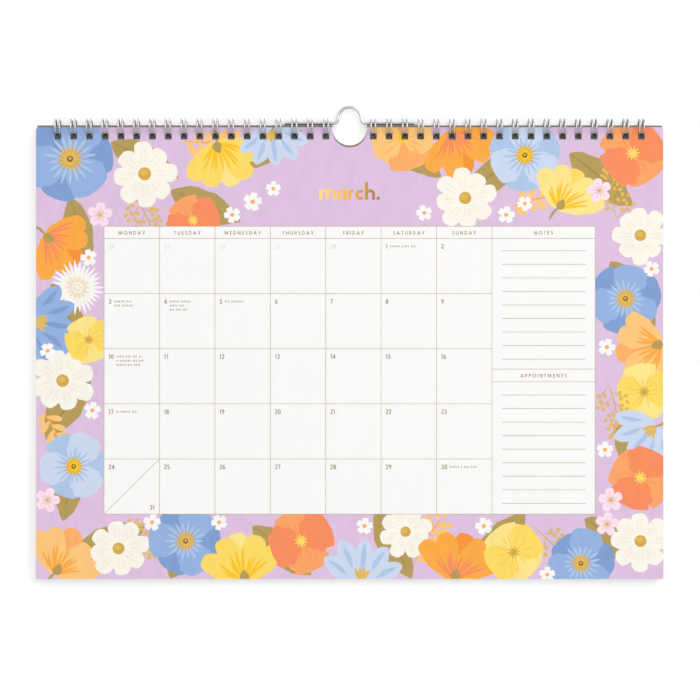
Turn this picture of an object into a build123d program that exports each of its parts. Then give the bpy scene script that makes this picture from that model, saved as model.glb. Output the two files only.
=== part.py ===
"""Wall calendar: wire-bound leaves on a stiff board, hung from a wire loop.

The calendar hangs upright. +X runs to the right as seen from the front, +Y goes back
into the wall and +Z is up. The origin is the point where a nail bears: the underside
of the hanger's arch, in the plane of the hanger wire. Millimetres throughout.
"""

import os
from math import acos, asin, cos, degrees, radians, sin, sqrt

from build123d import *

# ---- Binding wire: one double loop to each punched hole, three holes to the inch ----
HOLE_PITCH = 25.4 / 3
LOOPS_PER_SIDE = 18
GAP_PITCHES = 3
RING_OUTER_DIAMETER = 9.5
BINDING_WIRE_DIAMETER = 0.9
LOOP_LEG_SPACING = 2.35
SPINE_BEND_RADIUS = 0.75
TIP_GAP = 0.15

# ---- Hanger wire ----
HANGER_WIRE_DIAMETER = 1.6
HANGER_LENGTH = 70.0
ARCH_RADIUS = 6.2
ARM_BEND_RADIUS = 2.6
ARM_ABOVE_SHEET = 2.3
ARM_TO_RING_CLEARANCE = 0.12

# ---- Leaves, board and cover ----
SHEET_WIDTH = 336.6
SHEET_HEIGHT = 242.4
SHEET_CORNER_RADIUS = 1.0
LEAF_THICKNESS = 0.16
COVER_THICKNESS = 0.30
BOARD_THICKNESS = 0.80
LEAVES_STILL_TO_COME = 9
LEAVES_TURNED_BACK = 2
PLY_GAP = 0.03
SPINE_SPACE = 1.09
REAR_FACE_BEHIND_RING_AXIS = 3.05

HOLE_WIDTH = 3.8
HOLE_HEIGHT = 3.5
HOLE_CORNER_RADIUS = 0.5
HOLE_MARGIN = 3.1
PAPER_TO_WIRE = 0.05

NOTCH_RADIUS = 9.4
NOTCH_CENTRE_BELOW_EDGE = 1.4

# ---- Worked out from the above ----
WIRE_RADIUS = BINDING_WIRE_DIAMETER / 2
RING_INNER_RADIUS = RING_OUTER_DIAMETER / 2 - BINDING_WIRE_DIAMETER
RING_RADIUS = RING_INNER_RADIUS + WIRE_RADIUS
HANGER_WIRE_RADIUS = HANGER_WIRE_DIAMETER / 2

# Faces of the stack, front to back, as distances behind the ring axis.
TURNED_BACK_FACE = REAR_FACE_BEHIND_RING_AXIS
TURNED_FRONT_FACE = TURNED_BACK_FACE - LEAVES_TURNED_BACK * LEAF_THICKNESS
COVER_FRONT_FACE = TURNED_FRONT_FACE - PLY_GAP - COVER_THICKNESS
BOARD_BACK_FACE = COVER_FRONT_FACE - SPINE_SPACE
BOARD_FRONT_FACE = BOARD_BACK_FACE - BOARD_THICKNESS
BLOCK_FRONT_FACE = BOARD_FRONT_FACE - PLY_GAP - LEAVES_STILL_TO_COME * LEAF_THICKNESS
SHOWING_FRONT_FACE = BLOCK_FRONT_FACE - PLY_GAP - LEAF_THICKNESS

# A hanging sheet rests on the inside of the wire, so the sheets far behind the ring
# axis hang higher than those close to it.
FRONT_REACH = max(abs(SHOWING_FRONT_FACE), BOARD_BACK_FACE)
FRONT_HOLE_TOP = PAPER_TO_WIRE - sqrt(RING_INNER_RADIUS**2 - FRONT_REACH**2)
REAR_HOLE_TOP = PAPER_TO_WIRE - sqrt(RING_INNER_RADIUS**2 - TURNED_BACK_FACE**2)
FRONT_TOP_EDGE = FRONT_HOLE_TOP + HOLE_MARGIN
REAR_TOP_EDGE = REAR_HOLE_TOP + HOLE_MARGIN

# The hanger's arms bear on the rear upper inside of the rings.
ARM_HEIGHT = FRONT_TOP_EDGE + ARM_ABOVE_SHEET
ARM_REACH = RING_INNER_RADIUS - HANGER_WIRE_RADIUS - ARM_TO_RING_CLEARANCE
ARM_BEHIND = sqrt(ARM_REACH**2 - ARM_HEIGHT**2)

# Ring axis in the calendar's own frame.
ARM_BELOW_ORIGIN = ARCH_RADIUS - HANGER_WIRE_RADIUS + ARM_BEND_RADIUS
RING_AXIS_Y = -ARM_BEHIND
RING_AXIS_Z = -ARM_BELOW_ORIGIN - ARM_HEIGHT

# The spine wires run between the board and the turned-back cover.
SPINE_BEHIND = (BOARD_BACK_FACE + COVER_FRONT_FACE) / 2
SPINE_ANGLE = -degrees(acos(SPINE_BEHIND / RING_RADIUS))


def hole_positions():
    """X of every punched hole, left side then right side."""
    first = GAP_PITCHES * HOLE_PITCH / 2
    right = [first + i * HOLE_PITCH for i in range(LOOPS_PER_SIDE)]
    left = [-x for x in reversed(right)]
    return left, right


def make_hanger():
    """One wire bent to an arch, with a straight arm to each side."""
    arch_centre_z = HANGER_WIRE_RADIUS - ARCH_RADIUS
    bend_x = ARCH_RADIUS + ARM_BEND_RADIUS
    arm_z = arch_centre_z - ARM_BEND_RADIUS
    slant = sin(radians(45))
    half = HANGER_LENGTH / 2

    def bend(side):
        near_arch = (side * ARCH_RADIUS, 0, arch_centre_z)
        middle = (
            side * (bend_x - ARM_BEND_RADIUS * slant),
            0,
            arch_centre_z - ARM_BEND_RADIUS * slant,
        )
        near_arm = (side * bend_x, 0, arm_z)
        return near_arch, middle, near_arm

    left_arch, left_middle, left_arm = bend(-1)
    right_arch, right_middle, right_arm = bend(1)
    path = Wire(
        [
            Edge.make_line((-half, 0, arm_z), left_arm),
            Edge.make_three_point_arc(left_arm, left_middle, left_arch),
            Edge.make_three_point_arc(left_arch, (0, 0, HANGER_WIRE_RADIUS), right_arch),
            Edge.make_three_point_arc(right_arch, right_middle, right_arm),
            Edge.make_line(right_arm, (half, 0, arm_z)),
        ]
    )
    section = Plane(origin=(-half, 0, arm_z), z_dir=(1, 0, 0)) * Circle(HANGER_WIRE_RADIUS)
    return sweep(section, path=path)


def ring_point(angle, radius=RING_RADIUS):
    """A point of the ring's circle: 0 degrees is straight back, 90 is up."""
    return RING_AXIS_Y + radius * cos(radians(angle)), RING_AXIS_Z + radius * sin(radians(angle))


def leg_edge(x, from_angle, to_angle):
    """One side of a loop: an arc round the ring axis in the plane at x."""
    middle_angle = (from_angle + to_angle) / 2
    angles = (from_angle, middle_angle, to_angle)
    return Edge.make_three_point_arc(*[(x, *ring_point(angle)) for angle in angles])


def surface_plane(x, angle):
    """Plane touching the ring's circle, with its own Y along the circle."""
    outward = (0, cos(radians(angle)), sin(radians(angle)))
    return Plane(origin=(x, *ring_point(angle)), x_dir=(1, 0, 0), z_dir=outward)


def tip_edge(x, angle):
    """The closed end of a double loop: a half circle from one leg to the other."""
    plane = surface_plane(x, angle)
    reach = LOOP_LEG_SPACING / 2
    ends = [(-reach, 0), (0, -reach), (reach, 0)]
    return Edge.make_three_point_arc(*[plane.from_local_coords((*p, 0)) for p in ends])


def link_edges(x_from, x_to, angle):
    """The spine wire from one loop's last leg to the next one's first, bent at each end."""
    plane = surface_plane((x_from + x_to) / 2, angle)
    half = (x_to - x_from) / 2
    r = SPINE_BEND_RADIUS
    bend_x = r * cos(radians(45))
    bend_y = r * sin(radians(45))

    def at(x, y):
        return plane.from_local_coords((x, y, 0))

    centre = half - r
    return [
        Edge.make_three_point_arc(at(-half, 0), at(-centre - bend_x, bend_y), at(-centre, r)),
        Edge.make_line(at(-centre, r), at(centre, r)),
        Edge.make_three_point_arc(at(centre, r), at(centre + bend_x, bend_y), at(half, 0)),
    ]


def make_binding_wire(positions):
    """One formed wire: a double loop at each hole, and a spine link to the next loop."""
    reach = LOOP_LEG_SPACING / 2
    leg_start = SPINE_ANGLE + degrees(SPINE_BEND_RADIUS / RING_RADIUS)
    tip_room = reach + BINDING_WIRE_DIAMETER + TIP_GAP
    leg_end = SPINE_ANGLE + 360 - degrees(tip_room / RING_RADIUS)
    edges = []
    for i, x in enumerate(positions):
        edges.append(leg_edge(x - reach, leg_start, leg_end))
        edges.append(tip_edge(x, leg_end))
        edges.append(leg_edge(x + reach, leg_end, leg_start))
        if i + 1 < len(positions):
            edges += link_edges(x + reach, positions[i + 1] - reach, leg_start)
    path = Wire(edges)
    first = edges[0]
    section = Plane(origin=first.position_at(0), z_dir=first.tangent_at(0)) * Circle(WIRE_RADIUS)
    return sweep(section, path=path)


def make_sheet(front_face, thickness, top_edge):
    """A punched sheet with the thumb notch; its place is given from the ring axis."""
    bottom = top_edge - SHEET_HEIGHT
    outline = Pos(0, (top_edge + bottom) / 2) * RectangleRounded(
        SHEET_WIDTH, SHEET_HEIGHT, SHEET_CORNER_RADIUS
    )
    left, right = hole_positions()
    hole_y = top_edge - HOLE_MARGIN - HOLE_HEIGHT / 2
    holes = Sketch() + [
        Pos(x, hole_y) * RectangleRounded(HOLE_WIDTH, HOLE_HEIGHT, HOLE_CORNER_RADIUS)
        for x in left + right
    ]
    notch = Pos(0, top_edge - NOTCH_CENTRE_BELOW_EDGE) * Circle(NOTCH_RADIUS)
    face = outline - holes - notch
    front = Plane(
        origin=(0, RING_AXIS_Y + front_face, RING_AXIS_Z), x_dir=(1, 0, 0), z_dir=(0, -1, 0)
    )
    return extrude(front * face, amount=-thickness)


def make_parts():
    """Every node of the calendar, by name."""
    left, right = hole_positions()
    block_thickness = LEAVES_STILL_TO_COME * LEAF_THICKNESS
    turned_thickness = LEAVES_TURNED_BACK * LEAF_THICKNESS
    return {
        "hanger_wire": make_hanger(),
        "left_binding_wire": make_binding_wire(left),
        "right_binding_wire": make_binding_wire(right),
        "march_leaf": make_sheet(SHOWING_FRONT_FACE, LEAF_THICKNESS, FRONT_TOP_EDGE),
        "later_months_block": make_sheet(BLOCK_FRONT_FACE, block_thickness, FRONT_TOP_EDGE),
        "back_board": make_sheet(BOARD_FRONT_FACE, BOARD_THICKNESS, FRONT_TOP_EDGE),
        "front_cover": make_sheet(COVER_FRONT_FACE, COVER_THICKNESS, REAR_TOP_EDGE),
        "turned_months": make_sheet(TURNED_FRONT_FACE, turned_thickness, REAR_TOP_EDGE),
    }


def report_layout():
    """Print the places that the joints and mounts are stated from."""
    swing_y = RING_AXIS_Y + (COVER_FRONT_FACE + TURNED_BACK_FACE) / 2
    swing_depth = swing_y - RING_AXIS_Y
    swing_z = RING_AXIS_Z - sqrt(RING_RADIUS**2 - swing_depth**2)
    arm_front = ARM_BEHIND - HANGER_WIRE_RADIUS
    print(f"ring axis            y {RING_AXIS_Y:.4f}  z {RING_AXIS_Z:.4f}")
    print(f"arm axis             y 0.0000  z {-ARM_BELOW_ORIGIN:.4f}")
    print(f"turned leaves' pivot y {swing_y:.4f}  z {swing_z:.4f}")
    print(f"stack front face     y {RING_AXIS_Y + SHOWING_FRONT_FACE:.4f}")
    print(f"stack back face      y {RING_AXIS_Y + TURNED_BACK_FACE:.4f}")
    print(f"front top edge       z {RING_AXIS_Z + FRONT_TOP_EDGE:.4f}")
    print(f"rear top edge        z {RING_AXIS_Z + REAR_TOP_EDGE:.4f}")
    print(f"arm to a leaf standing straight up {arm_front + SHOWING_FRONT_FACE:.3f}")
    print(f"angle of the arm round the ring {degrees(asin(ARM_HEIGHT / ARM_REACH)):.1f}")


def main():
    """Write one STEP file to each node."""
    os.makedirs("parts", exist_ok=True)
    for name, shape in make_parts().items():
        shape.label = name
        export_step(shape, f"parts/{name}.step")
        print(f"{name:20s} {shape.volume:10.2f} mm3")
    report_layout()


main()
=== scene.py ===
"""A wire-bound wall calendar open at March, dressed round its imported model.

The binding and hanger wires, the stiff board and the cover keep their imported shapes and
get their finishes here. The leaves are remade: the one that shows carries its print as
areas of ink in one closed sheet, and the leaves behind it lie loose in their stacks.
Lengths on the sheet are in millimetres from the middle of its top edge, X to the right
and Z up; everything given to Blender is in metres.
"""

import logging
import random
from dataclasses import dataclass, field, replace
from enum import Enum
from math import cos, hypot, pi, radians, sin

import bpy
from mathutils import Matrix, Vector
from mathutils.geometry import delaunay_2d_cdt


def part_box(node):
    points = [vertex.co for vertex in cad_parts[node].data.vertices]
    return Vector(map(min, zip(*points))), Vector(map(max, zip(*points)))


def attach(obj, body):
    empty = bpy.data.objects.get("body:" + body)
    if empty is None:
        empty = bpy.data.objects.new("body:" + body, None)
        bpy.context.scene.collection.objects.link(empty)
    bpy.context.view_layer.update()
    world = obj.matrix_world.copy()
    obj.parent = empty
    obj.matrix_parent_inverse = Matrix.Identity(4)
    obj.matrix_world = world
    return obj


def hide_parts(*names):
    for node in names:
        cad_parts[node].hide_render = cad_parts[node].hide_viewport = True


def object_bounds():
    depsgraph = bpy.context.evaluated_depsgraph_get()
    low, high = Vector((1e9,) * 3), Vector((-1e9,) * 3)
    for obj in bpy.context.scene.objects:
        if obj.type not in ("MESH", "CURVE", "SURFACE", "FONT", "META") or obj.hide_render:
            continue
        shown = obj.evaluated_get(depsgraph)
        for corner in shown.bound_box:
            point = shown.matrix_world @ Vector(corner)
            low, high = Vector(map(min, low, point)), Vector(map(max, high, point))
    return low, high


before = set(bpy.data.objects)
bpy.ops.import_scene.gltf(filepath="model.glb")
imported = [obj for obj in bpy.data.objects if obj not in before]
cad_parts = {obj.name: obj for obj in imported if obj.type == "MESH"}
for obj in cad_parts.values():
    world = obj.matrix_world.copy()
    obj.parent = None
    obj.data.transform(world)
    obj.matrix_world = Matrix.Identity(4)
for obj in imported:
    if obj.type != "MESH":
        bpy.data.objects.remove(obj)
CAD_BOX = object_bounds()

LOG = logging.getLogger("calendar")
MM = 0.001
FULL_TONE = 255
TOE_END = 0.04045
TOE_SLOPE = 12.92
CURVE_LIFT = 0.055
CURVE_POWER = 2.4
PURE_WHITE = (1.0, 1.0, 1.0, 1.0)
ARC_STEP = 15
ARC_LEAST = 4
FILL_INSIDE = 1

Point = tuple[float, float]
Outline = list[Point]
Triple = tuple[float, float, float]
Colour = Triple


# ---------------------------------------------------------------------------
# Inks and finishes
# ---------------------------------------------------------------------------


class Ink(Enum):
    """Every ink on the printed leaf, with its colour as the eye sees it, 0 to 255."""

    LILAC = (222, 193, 223)
    CREAM = (251, 247, 234)
    CREAM_SHADE = (243, 224, 200)
    WHITE = (250, 249, 247)
    OCHRE = (214, 168, 66)
    OCHRE_LIGHT = (226, 184, 92)
    BARK = (126, 98, 46)
    OLIVE = (180, 154, 86)
    OLIVE_DARK = (160, 134, 70)
    CORAL = (249, 140, 92)
    CORAL_LIGHT = (253, 163, 100)
    ORANGE = (252, 170, 62)
    ORANGE_DARK = (247, 148, 48)
    PEACH = (254, 199, 122)
    PEACH_DARK = (252, 174, 100)
    YELLOW = (254, 219, 98)
    YELLOW_PALE = (254, 229, 138)
    YELLOW_DEEP = (253, 198, 24)
    BLUE = (148, 178, 224)
    BLUE_DEEP = (126, 158, 208)
    BLUE_MID = (174, 198, 232)
    BLUE_PALE = (204, 217, 240)
    PINK = (254, 226, 241)
    PINK_SHADE = (247, 204, 216)
    PANEL = (250, 250, 249)
    RULE = (190, 157, 112)
    LETTER = (164, 130, 78)
    GHOST = (221, 218, 213)
    FOIL = (214, 158, 66)


def linear(colour: Colour) -> tuple[float, float, float, float]:
    """Turn a colour as the eye sees it into the shader's linear one.

    Args:
        colour: Red, green and blue from 0 to 255.

    Returns:
        Linear red, green, blue and an alpha of 1.
    """

    def channel(value: float) -> float:
        """One channel of it.

        Args:
            value: From 0 to 255.

        Returns:
            The same, linear, from 0 to 1.
        """
        share = value / FULL_TONE
        if share <= TOE_END:
            return share / TOE_SLOPE
        return ((share + CURVE_LIFT) / (1 + CURVE_LIFT)) ** CURVE_POWER

    return (*(channel(c) for c in colour), 1.0)


class ShaderSheet:
    """A new material's node tree, with short calls for the nodes that finishes share."""

    def __init__(self, name: str) -> None:
        """Start a material with a plain surface shader.

        Args:
            name: The material's name.
        """
        self.material = bpy.data.materials.new(name)
        self.material.use_nodes = True
        self.tree = self.material.node_tree
        self.surface = self.tree.nodes["Principled BSDF"]
        self.place = self.add("ShaderNodeTexCoord").outputs["Object"]

    def add(self, kind: str) -> bpy.types.Node:
        """A new node of this kind."""
        return self.tree.nodes.new(kind)

    def join(self, source: bpy.types.NodeSocket, target: bpy.types.NodeSocket) -> None:
        """Link one socket to another."""
        self.tree.links.new(source, target)

    def noise(self, size_mm: float, detail: float, stretch: Triple = (1, 1, 1)) -> bpy.types.NodeSocket:
        """Soft random mottling fixed to the object.

        Args:
            size_mm: The rough size of a patch.
            detail: How much finer grain it carries.
            stretch: Scale along each axis, for brushed or drawn grain.

        Returns:
            The node's value, about 0.5 on average.
        """
        mapping = self.add("ShaderNodeMapping")
        mapping.inputs["Scale"].default_value = stretch
        self.join(self.place, mapping.inputs["Vector"])
        noise = self.add("ShaderNodeTexNoise")
        noise.inputs["Scale"].default_value = 1 / (size_mm * MM)
        noise.inputs["Detail"].default_value = detail
        self.join(mapping.outputs["Vector"], noise.inputs["Vector"])
        return noise.outputs["Fac"]

    def between(
        self, value: bpy.types.NodeSocket, low: float, high: float, to: tuple[float, float]
    ) -> bpy.types.NodeSocket:
        """Stretch a value from one range to another.

        Args:
            value: The value to stretch.
            low: Where the range starts.
            high: Where the range ends.
            to: What its two ends become.

        Returns:
            The stretched value.
        """
        spread = self.add("ShaderNodeMapRange")
        spread.inputs["From Min"].default_value = low
        spread.inputs["From Max"].default_value = high
        spread.inputs["To Min"].default_value = to[0]
        spread.inputs["To Max"].default_value = to[1]
        self.join(value, spread.inputs["Value"])
        return spread.outputs["Result"]

    def combine(
        self, operation: str, first: bpy.types.NodeSocket, second: bpy.types.NodeSocket
    ) -> bpy.types.NodeSocket:
        """Work out one value from two.

        Args:
            operation: What is done with them.
            first: One value.
            second: The other value.

        Returns:
            The result.
        """
        node = self.add("ShaderNodeMath")
        node.operation = operation
        self.join(first, node.inputs[0])
        self.join(second, node.inputs[1])
        return node.outputs["Value"]

    def openness(self, reach_mm: float, span: tuple[float, float]) -> bpy.types.NodeSocket:
        """How open a point is to its surroundings.

        Args:
            reach_mm: How far off a surface still counts.
            span: The open shares that become 0 and 1.

        Returns:
            0 where it is shut in, and 1 where it is open.
        """
        sky = self.add("ShaderNodeAmbientOcclusion")
        sky.inputs["Distance"].default_value = reach_mm * MM
        return self.between(sky.outputs["AO"], *span, (0, 1))

    def tint(self, amount: bpy.types.NodeSocket, first: Colour, second: Colour) -> None:
        """Let a value choose the surface colour between two inks.

        Args:
            amount: 0 for the first colour and 1 for the second.
            first: One end's colour, 0 to 255.
            second: The other end's colour, 0 to 255.
        """
        mix = self.add("ShaderNodeMix")
        mix.data_type = "RGBA"
        mix.inputs["A"].default_value = linear(first)
        mix.inputs["B"].default_value = linear(second)
        self.join(amount, mix.inputs["Factor"])
        self.join(mix.outputs["Result"], self.surface.inputs["Base Color"])

    def polish(self, roughness: float, specular: float) -> None:
        """Set how sharp and how strong the surface's reflections are."""
        self.surface.inputs["Roughness"].default_value = roughness
        self.surface.inputs["Specular IOR Level"].default_value = specular

    def roughen(self, height: bpy.types.NodeSocket, depth_mm: float, strength: float) -> None:
        """Raise the surface by a height value.

        Args:
            height: The height, 0 to 1.
            depth_mm: How far 1 stands above 0.
            strength: How much of the slope is felt.
        """
        bump = self.add("ShaderNodeBump")
        bump.inputs["Distance"].default_value = depth_mm * MM
        bump.inputs["Strength"].default_value = strength
        self.join(height, bump.inputs["Height"])
        self.join(bump.outputs["Normal"], self.surface.inputs["Normal"])


@dataclass(frozen=True)
class PrintedInk:
    """Offset ink on uncoated paper, laid down like flat gouache."""

    ink: Ink
    mottle: float = 0.01
    patch_mm: float = 5.0
    patch_detail: float = 4.0
    patch_stretch: Triple = (1, 1, 0.45)
    patch_span: tuple[float, float] = (0.35, 0.65)
    roughness: float = 0.62
    specular: float = 0.32
    tooth_mm: float = 0.012
    tooth_grain_mm: float = 0.35
    tooth_detail: float = 3.0
    tooth_strength: float = 0.5

    def material(self) -> bpy.types.Material:
        """Make the ink's material.

        Returns:
            A material with slight pooling of colour and the paper's tooth.
        """
        sheet = ShaderSheet(f"ink_{self.ink.name.lower()}")
        dark = tuple(c * (1 - self.mottle) for c in self.ink.value)
        light = tuple(min(FULL_TONE, c * (1 + self.mottle)) for c in self.ink.value)
        pooled = sheet.noise(self.patch_mm, self.patch_detail, self.patch_stretch)
        sheet.tint(sheet.between(pooled, *self.patch_span, (0, 1)), dark, light)
        sheet.polish(self.roughness, self.specular)
        tooth = sheet.noise(self.tooth_grain_mm, self.tooth_detail)
        sheet.roughen(tooth, self.tooth_mm, self.tooth_strength)
        return sheet.material


@dataclass(frozen=True)
class PaperStock:
    """Bare sheet material: its two fibre tones, and how smooth it is."""

    name: str
    tone: Colour
    fibre: Colour
    fibre_mm: float
    roughness: float
    tooth_mm: float
    fibre_detail: float = 6.0
    fibre_stretch: Triple = (1, 1, 2.2)
    fibre_span: tuple[float, float] = (0.42, 0.66)
    specular: float = 0.3
    tooth_to_fibre: float = 1 / 3
    tooth_detail: float = 4.0
    tooth_strength: float = 0.6

    def material(self) -> bpy.types.Material:
        """Make the stock's material.

        Returns:
            A material of mottled fibre with a fine tooth.
        """
        sheet = ShaderSheet(self.name)
        fibres = sheet.noise(self.fibre_mm, self.fibre_detail, self.fibre_stretch)
        sheet.tint(sheet.between(fibres, *self.fibre_span, (0, 1)), self.tone, self.fibre)
        sheet.polish(self.roughness, self.specular)
        tooth = sheet.noise(self.fibre_mm * self.tooth_to_fibre, self.tooth_detail)
        sheet.roughen(tooth, self.tooth_mm, self.tooth_strength)
        return sheet.material


@dataclass(frozen=True)
class GoldFoil:
    """Hot-stamped foil whose tone runs from pale to deep gold across the word."""

    half_width_mm: float
    pale: Colour = (250, 208, 112)
    middle: Colour = (226, 164, 62)
    deep: Colour = (142, 100, 36)
    middle_at: float = 0.5
    metallic: float = 0.45
    roughness: float = 0.34
    grain_mm: float = 0.6
    grain_detail: float = 3.0
    grain_depth_mm: float = 0.01
    grain_strength: float = 0.4

    def material(self) -> bpy.types.Material:
        """Make the foil's material.

        Returns:
            A part-metallic material, graded along X.
        """
        sheet = ShaderSheet("ink_foil")
        axes = sheet.add("ShaderNodeSeparateXYZ")
        sheet.join(sheet.place, axes.inputs["Vector"])
        reach = self.half_width_mm * MM
        along = sheet.between(axes.outputs["X"], -reach, reach, (0, 1))
        ramp = sheet.add("ShaderNodeValToRGB")
        stops = ramp.color_ramp.elements
        stops[0].color = linear(self.pale)
        stops[1].color = linear(self.deep)
        stops.new(self.middle_at).color = linear(self.middle)
        sheet.join(along, ramp.inputs["Fac"])
        sheet.join(ramp.outputs["Color"], sheet.surface.inputs["Base Color"])
        sheet.surface.inputs["Metallic"].default_value = self.metallic
        sheet.surface.inputs["Roughness"].default_value = self.roughness
        grain = sheet.noise(self.grain_mm, self.grain_detail)
        sheet.roughen(grain, self.grain_depth_mm, self.grain_strength)
        return sheet.material


@dataclass(frozen=True)
class DrawnWire:
    """Bright drawn steel wire, with faint marks along its length, and painted shade where the punched
    holes shut it in.
    """

    name: str
    tone: Colour
    # the dark colour of the painted shade inside the punched holes
    dull: Colour
    roughness: float
    wear: float = 0.2
    wear_mm: float = 1.6
    wear_detail: float = 5.0
    wear_span: tuple[float, float] = (0.35, 0.7)
    polish_span: tuple[float, float] = (0.3, 0.7)
    polish_range: tuple[float, float] = (0.8, 1.25)
    # how far the painted shade looks for nearby surfaces, and the occlusion span it is spread over
    shelter_mm: float = 5.0
    shelter: tuple[float, float] = (0.42, 0.86)
    grain_mm: float = 0.25
    grain_detail: float = 2.0
    grain_depth_mm: float = 0.004
    grain_strength: float = 0.35

    def material(self) -> bpy.types.Material:
        """Make the wire's material, with painted shade where it is shut in by the punched holes.

        Returns:
            A metal with slightly uneven brightness and polish.
        """
        sheet = ShaderSheet(self.name)
        uneven = sheet.noise(self.wear_mm, self.wear_detail)
        bright = sheet.between(uneven, *self.wear_span, (1, 1 - self.wear))
        # painted shade: where ambient occlusion finds the wire shut in, its colour runs to the dark
        # shade tone
        unshaded_share = sheet.openness(self.shelter_mm, self.shelter)
        sheet.tint(sheet.combine("MULTIPLY", unshaded_share, bright), self.dull, self.tone)
        sheet.surface.inputs["Metallic"].default_value = 1.0
        smooth, rough = (self.roughness * share for share in self.polish_range)
        polish = sheet.between(uneven, *self.polish_span, (smooth, rough))
        sheet.join(polish, sheet.surface.inputs["Roughness"])
        grain = sheet.noise(self.grain_mm, self.grain_detail)
        sheet.roughen(grain, self.grain_depth_mm, self.grain_strength)
        return sheet.material


@dataclass(frozen=True)
class StageWhite:
    """Matt white paint that looks a little lighter to the camera than its light makes it."""

    name: str
    glow: float
    tones: tuple[Colour, Colour] = ((252, 252, 252), (250, 250, 250))
    patch_mm: float = 300.0
    patch_detail: float = 2.0
    roughness: float = 0.9

    def start(self) -> tuple[ShaderSheet, bpy.types.NodeSocket]:
        """Make the nodes that every such paint has.

        Returns:
            The material with its nodes, and what is added to it for the camera.
        """
        sheet = ShaderSheet(self.name)
        sheet.surface.inputs["Roughness"].default_value = self.roughness
        sheet.surface.inputs["Emission Color"].default_value = PURE_WHITE
        path = sheet.add("ShaderNodeLightPath")
        glow = sheet.between(path.outputs["Is Camera Ray"], 0, 1, (0, self.glow))
        sheet.join(glow, sheet.surface.inputs["Emission Strength"])
        return sheet, glow

    def material(self) -> bpy.types.Material:
        """Make the paint's material.

        Returns:
            The paint, very slightly uneven.
        """
        sheet, _ = self.start()
        sheet.tint(sheet.noise(self.patch_mm, self.patch_detail), *self.tones)
        return sheet.material


@dataclass(frozen=True)
class WallWhite(StageWhite):
    """The wall's white: painted shade where it is shut in, clear from behind and far from the calendar.
    """

    # the painted shade colour behind the punched holes and along the calendar's edges
    shut_tone: Colour = (30, 29, 28)
    open_tone: Colour = (251, 251, 251)
    reach_mm: float = 30.0
    shelter: tuple[float, float] = (0.08, 0.4)
    ends: tuple[float, float] = (0.9, 0.98)

    def material(self) -> bpy.types.Material:
        """Make the wall's material.

        Returns:
            The paint, mixed with clear where the wall ends.
        """
        sheet, glow = self.start()
        # painted shade: the wall's colour and its camera glow both darken where ambient occlusion finds
        # it shut in behind the calendar
        unshaded_share = sheet.openness(self.reach_mm, self.shelter)
        sheet.tint(unshaded_share, self.shut_tone, self.open_tone)
        sheet.join(sheet.combine("MULTIPLY", unshaded_share, glow), sheet.surface.inputs["Emission Strength"])
        behind = sheet.add("ShaderNodeNewGeometry").outputs["Backfacing"]
        away = sheet.openness(self.reach_mm, self.ends)
        mix = sheet.add("ShaderNodeMixShader")
        clear = sheet.add("ShaderNodeBsdfTransparent")
        sheet.join(sheet.combine("MAXIMUM", behind, away), mix.inputs["Fac"])
        sheet.join(sheet.surface.outputs["BSDF"], mix.inputs[1])
        sheet.join(clear.outputs["BSDF"], mix.inputs[2])
        sheet.join(mix.outputs["Shader"], sheet.tree.nodes["Material Output"].inputs["Surface"])
        return sheet.material


LEAF_PAPER = PaperStock(
    name="leaf_paper",
    tone=(244, 243, 240),
    fibre=(236, 234, 229),
    fibre_mm=1.4,
    roughness=0.66,
    tooth_mm=0.012,
)
# the cover card's grey tone is painted shade: it stands in for the shade on the top edges that show
# above the showing leaf
COVER_CARD_PAINTED_SHADE = PaperStock(
    name="cover_card",
    tone=(158, 151, 142),
    fibre=(142, 135, 126),
    fibre_mm=2.2,
    roughness=0.58,
    tooth_mm=0.016,
)
GREY_BOARD = PaperStock(
    name="grey_board",
    tone=(168, 163, 155),
    fibre=(140, 135, 127),
    fibre_mm=1.1,
    roughness=0.82,
    tooth_mm=0.05,
)
# the second, dark colour of each wire is painted shade for where the punched holes shut it in
BINDING_WIRE = DrawnWire(name="binding_wire", tone=(206, 206, 209), dull=(30, 29, 31), roughness=0.2)
HANGER_WIRE = DrawnWire(
    name="hanger_wire", tone=(198, 198, 201), dull=(50, 49, 51), roughness=0.18, wear=0.1
)


# ---------------------------------------------------------------------------
# Plane shapes
# ---------------------------------------------------------------------------


def anticlockwise(points: Outline) -> Outline:
    """Run an outline anticlockwise, so that its inside is what gets filled.

    Args:
        points: The outline.

    Returns:
        The same outline, or the same reversed.
    """
    ends = points[1:] + points[:1]
    area = sum(x0 * y1 - x1 * y0 for (x0, y0), (x1, y1) in zip(points, ends))
    return points if area > 0 else points[::-1]


@dataclass
class InkShape:
    """One closed outline filled with one ink."""

    ink: Ink
    outline: Outline


def turned(points: Outline, angle: float, at: Point = (0, 0), size: float = 1.0) -> Outline:
    """Scale an outline, turn it and move it.

    Args:
        points: The outline.
        angle: Degrees, anticlockwise.
        at: Where its origin goes.
        size: What it is scaled by first.

    Returns:
        The new outline.
    """
    c, s = cos(radians(angle)) * size, sin(radians(angle)) * size
    return [(at[0] + x * c - y * s, at[1] + x * s + y * c) for x, y in points]


def disc(at: Point, radius: float, tall: float = 1.0, steps: int = 20) -> Outline:
    """A circle, or an ellipse with its height scaled.

    Args:
        at: Its centre.
        radius: Its radius along X.
        tall: Its height over its width.
        steps: How many points it has.

    Returns:
        The outline.
    """
    angles = [2 * pi * i / steps for i in range(steps)]
    return [(at[0] + radius * cos(a), at[1] + radius * tall * sin(a)) for a in angles]


def box_outline(left: float, low: float, right: float, high: float) -> Outline:
    """A rectangle's four corners."""
    return [(left, low), (right, low), (right, high), (left, high)]


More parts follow.
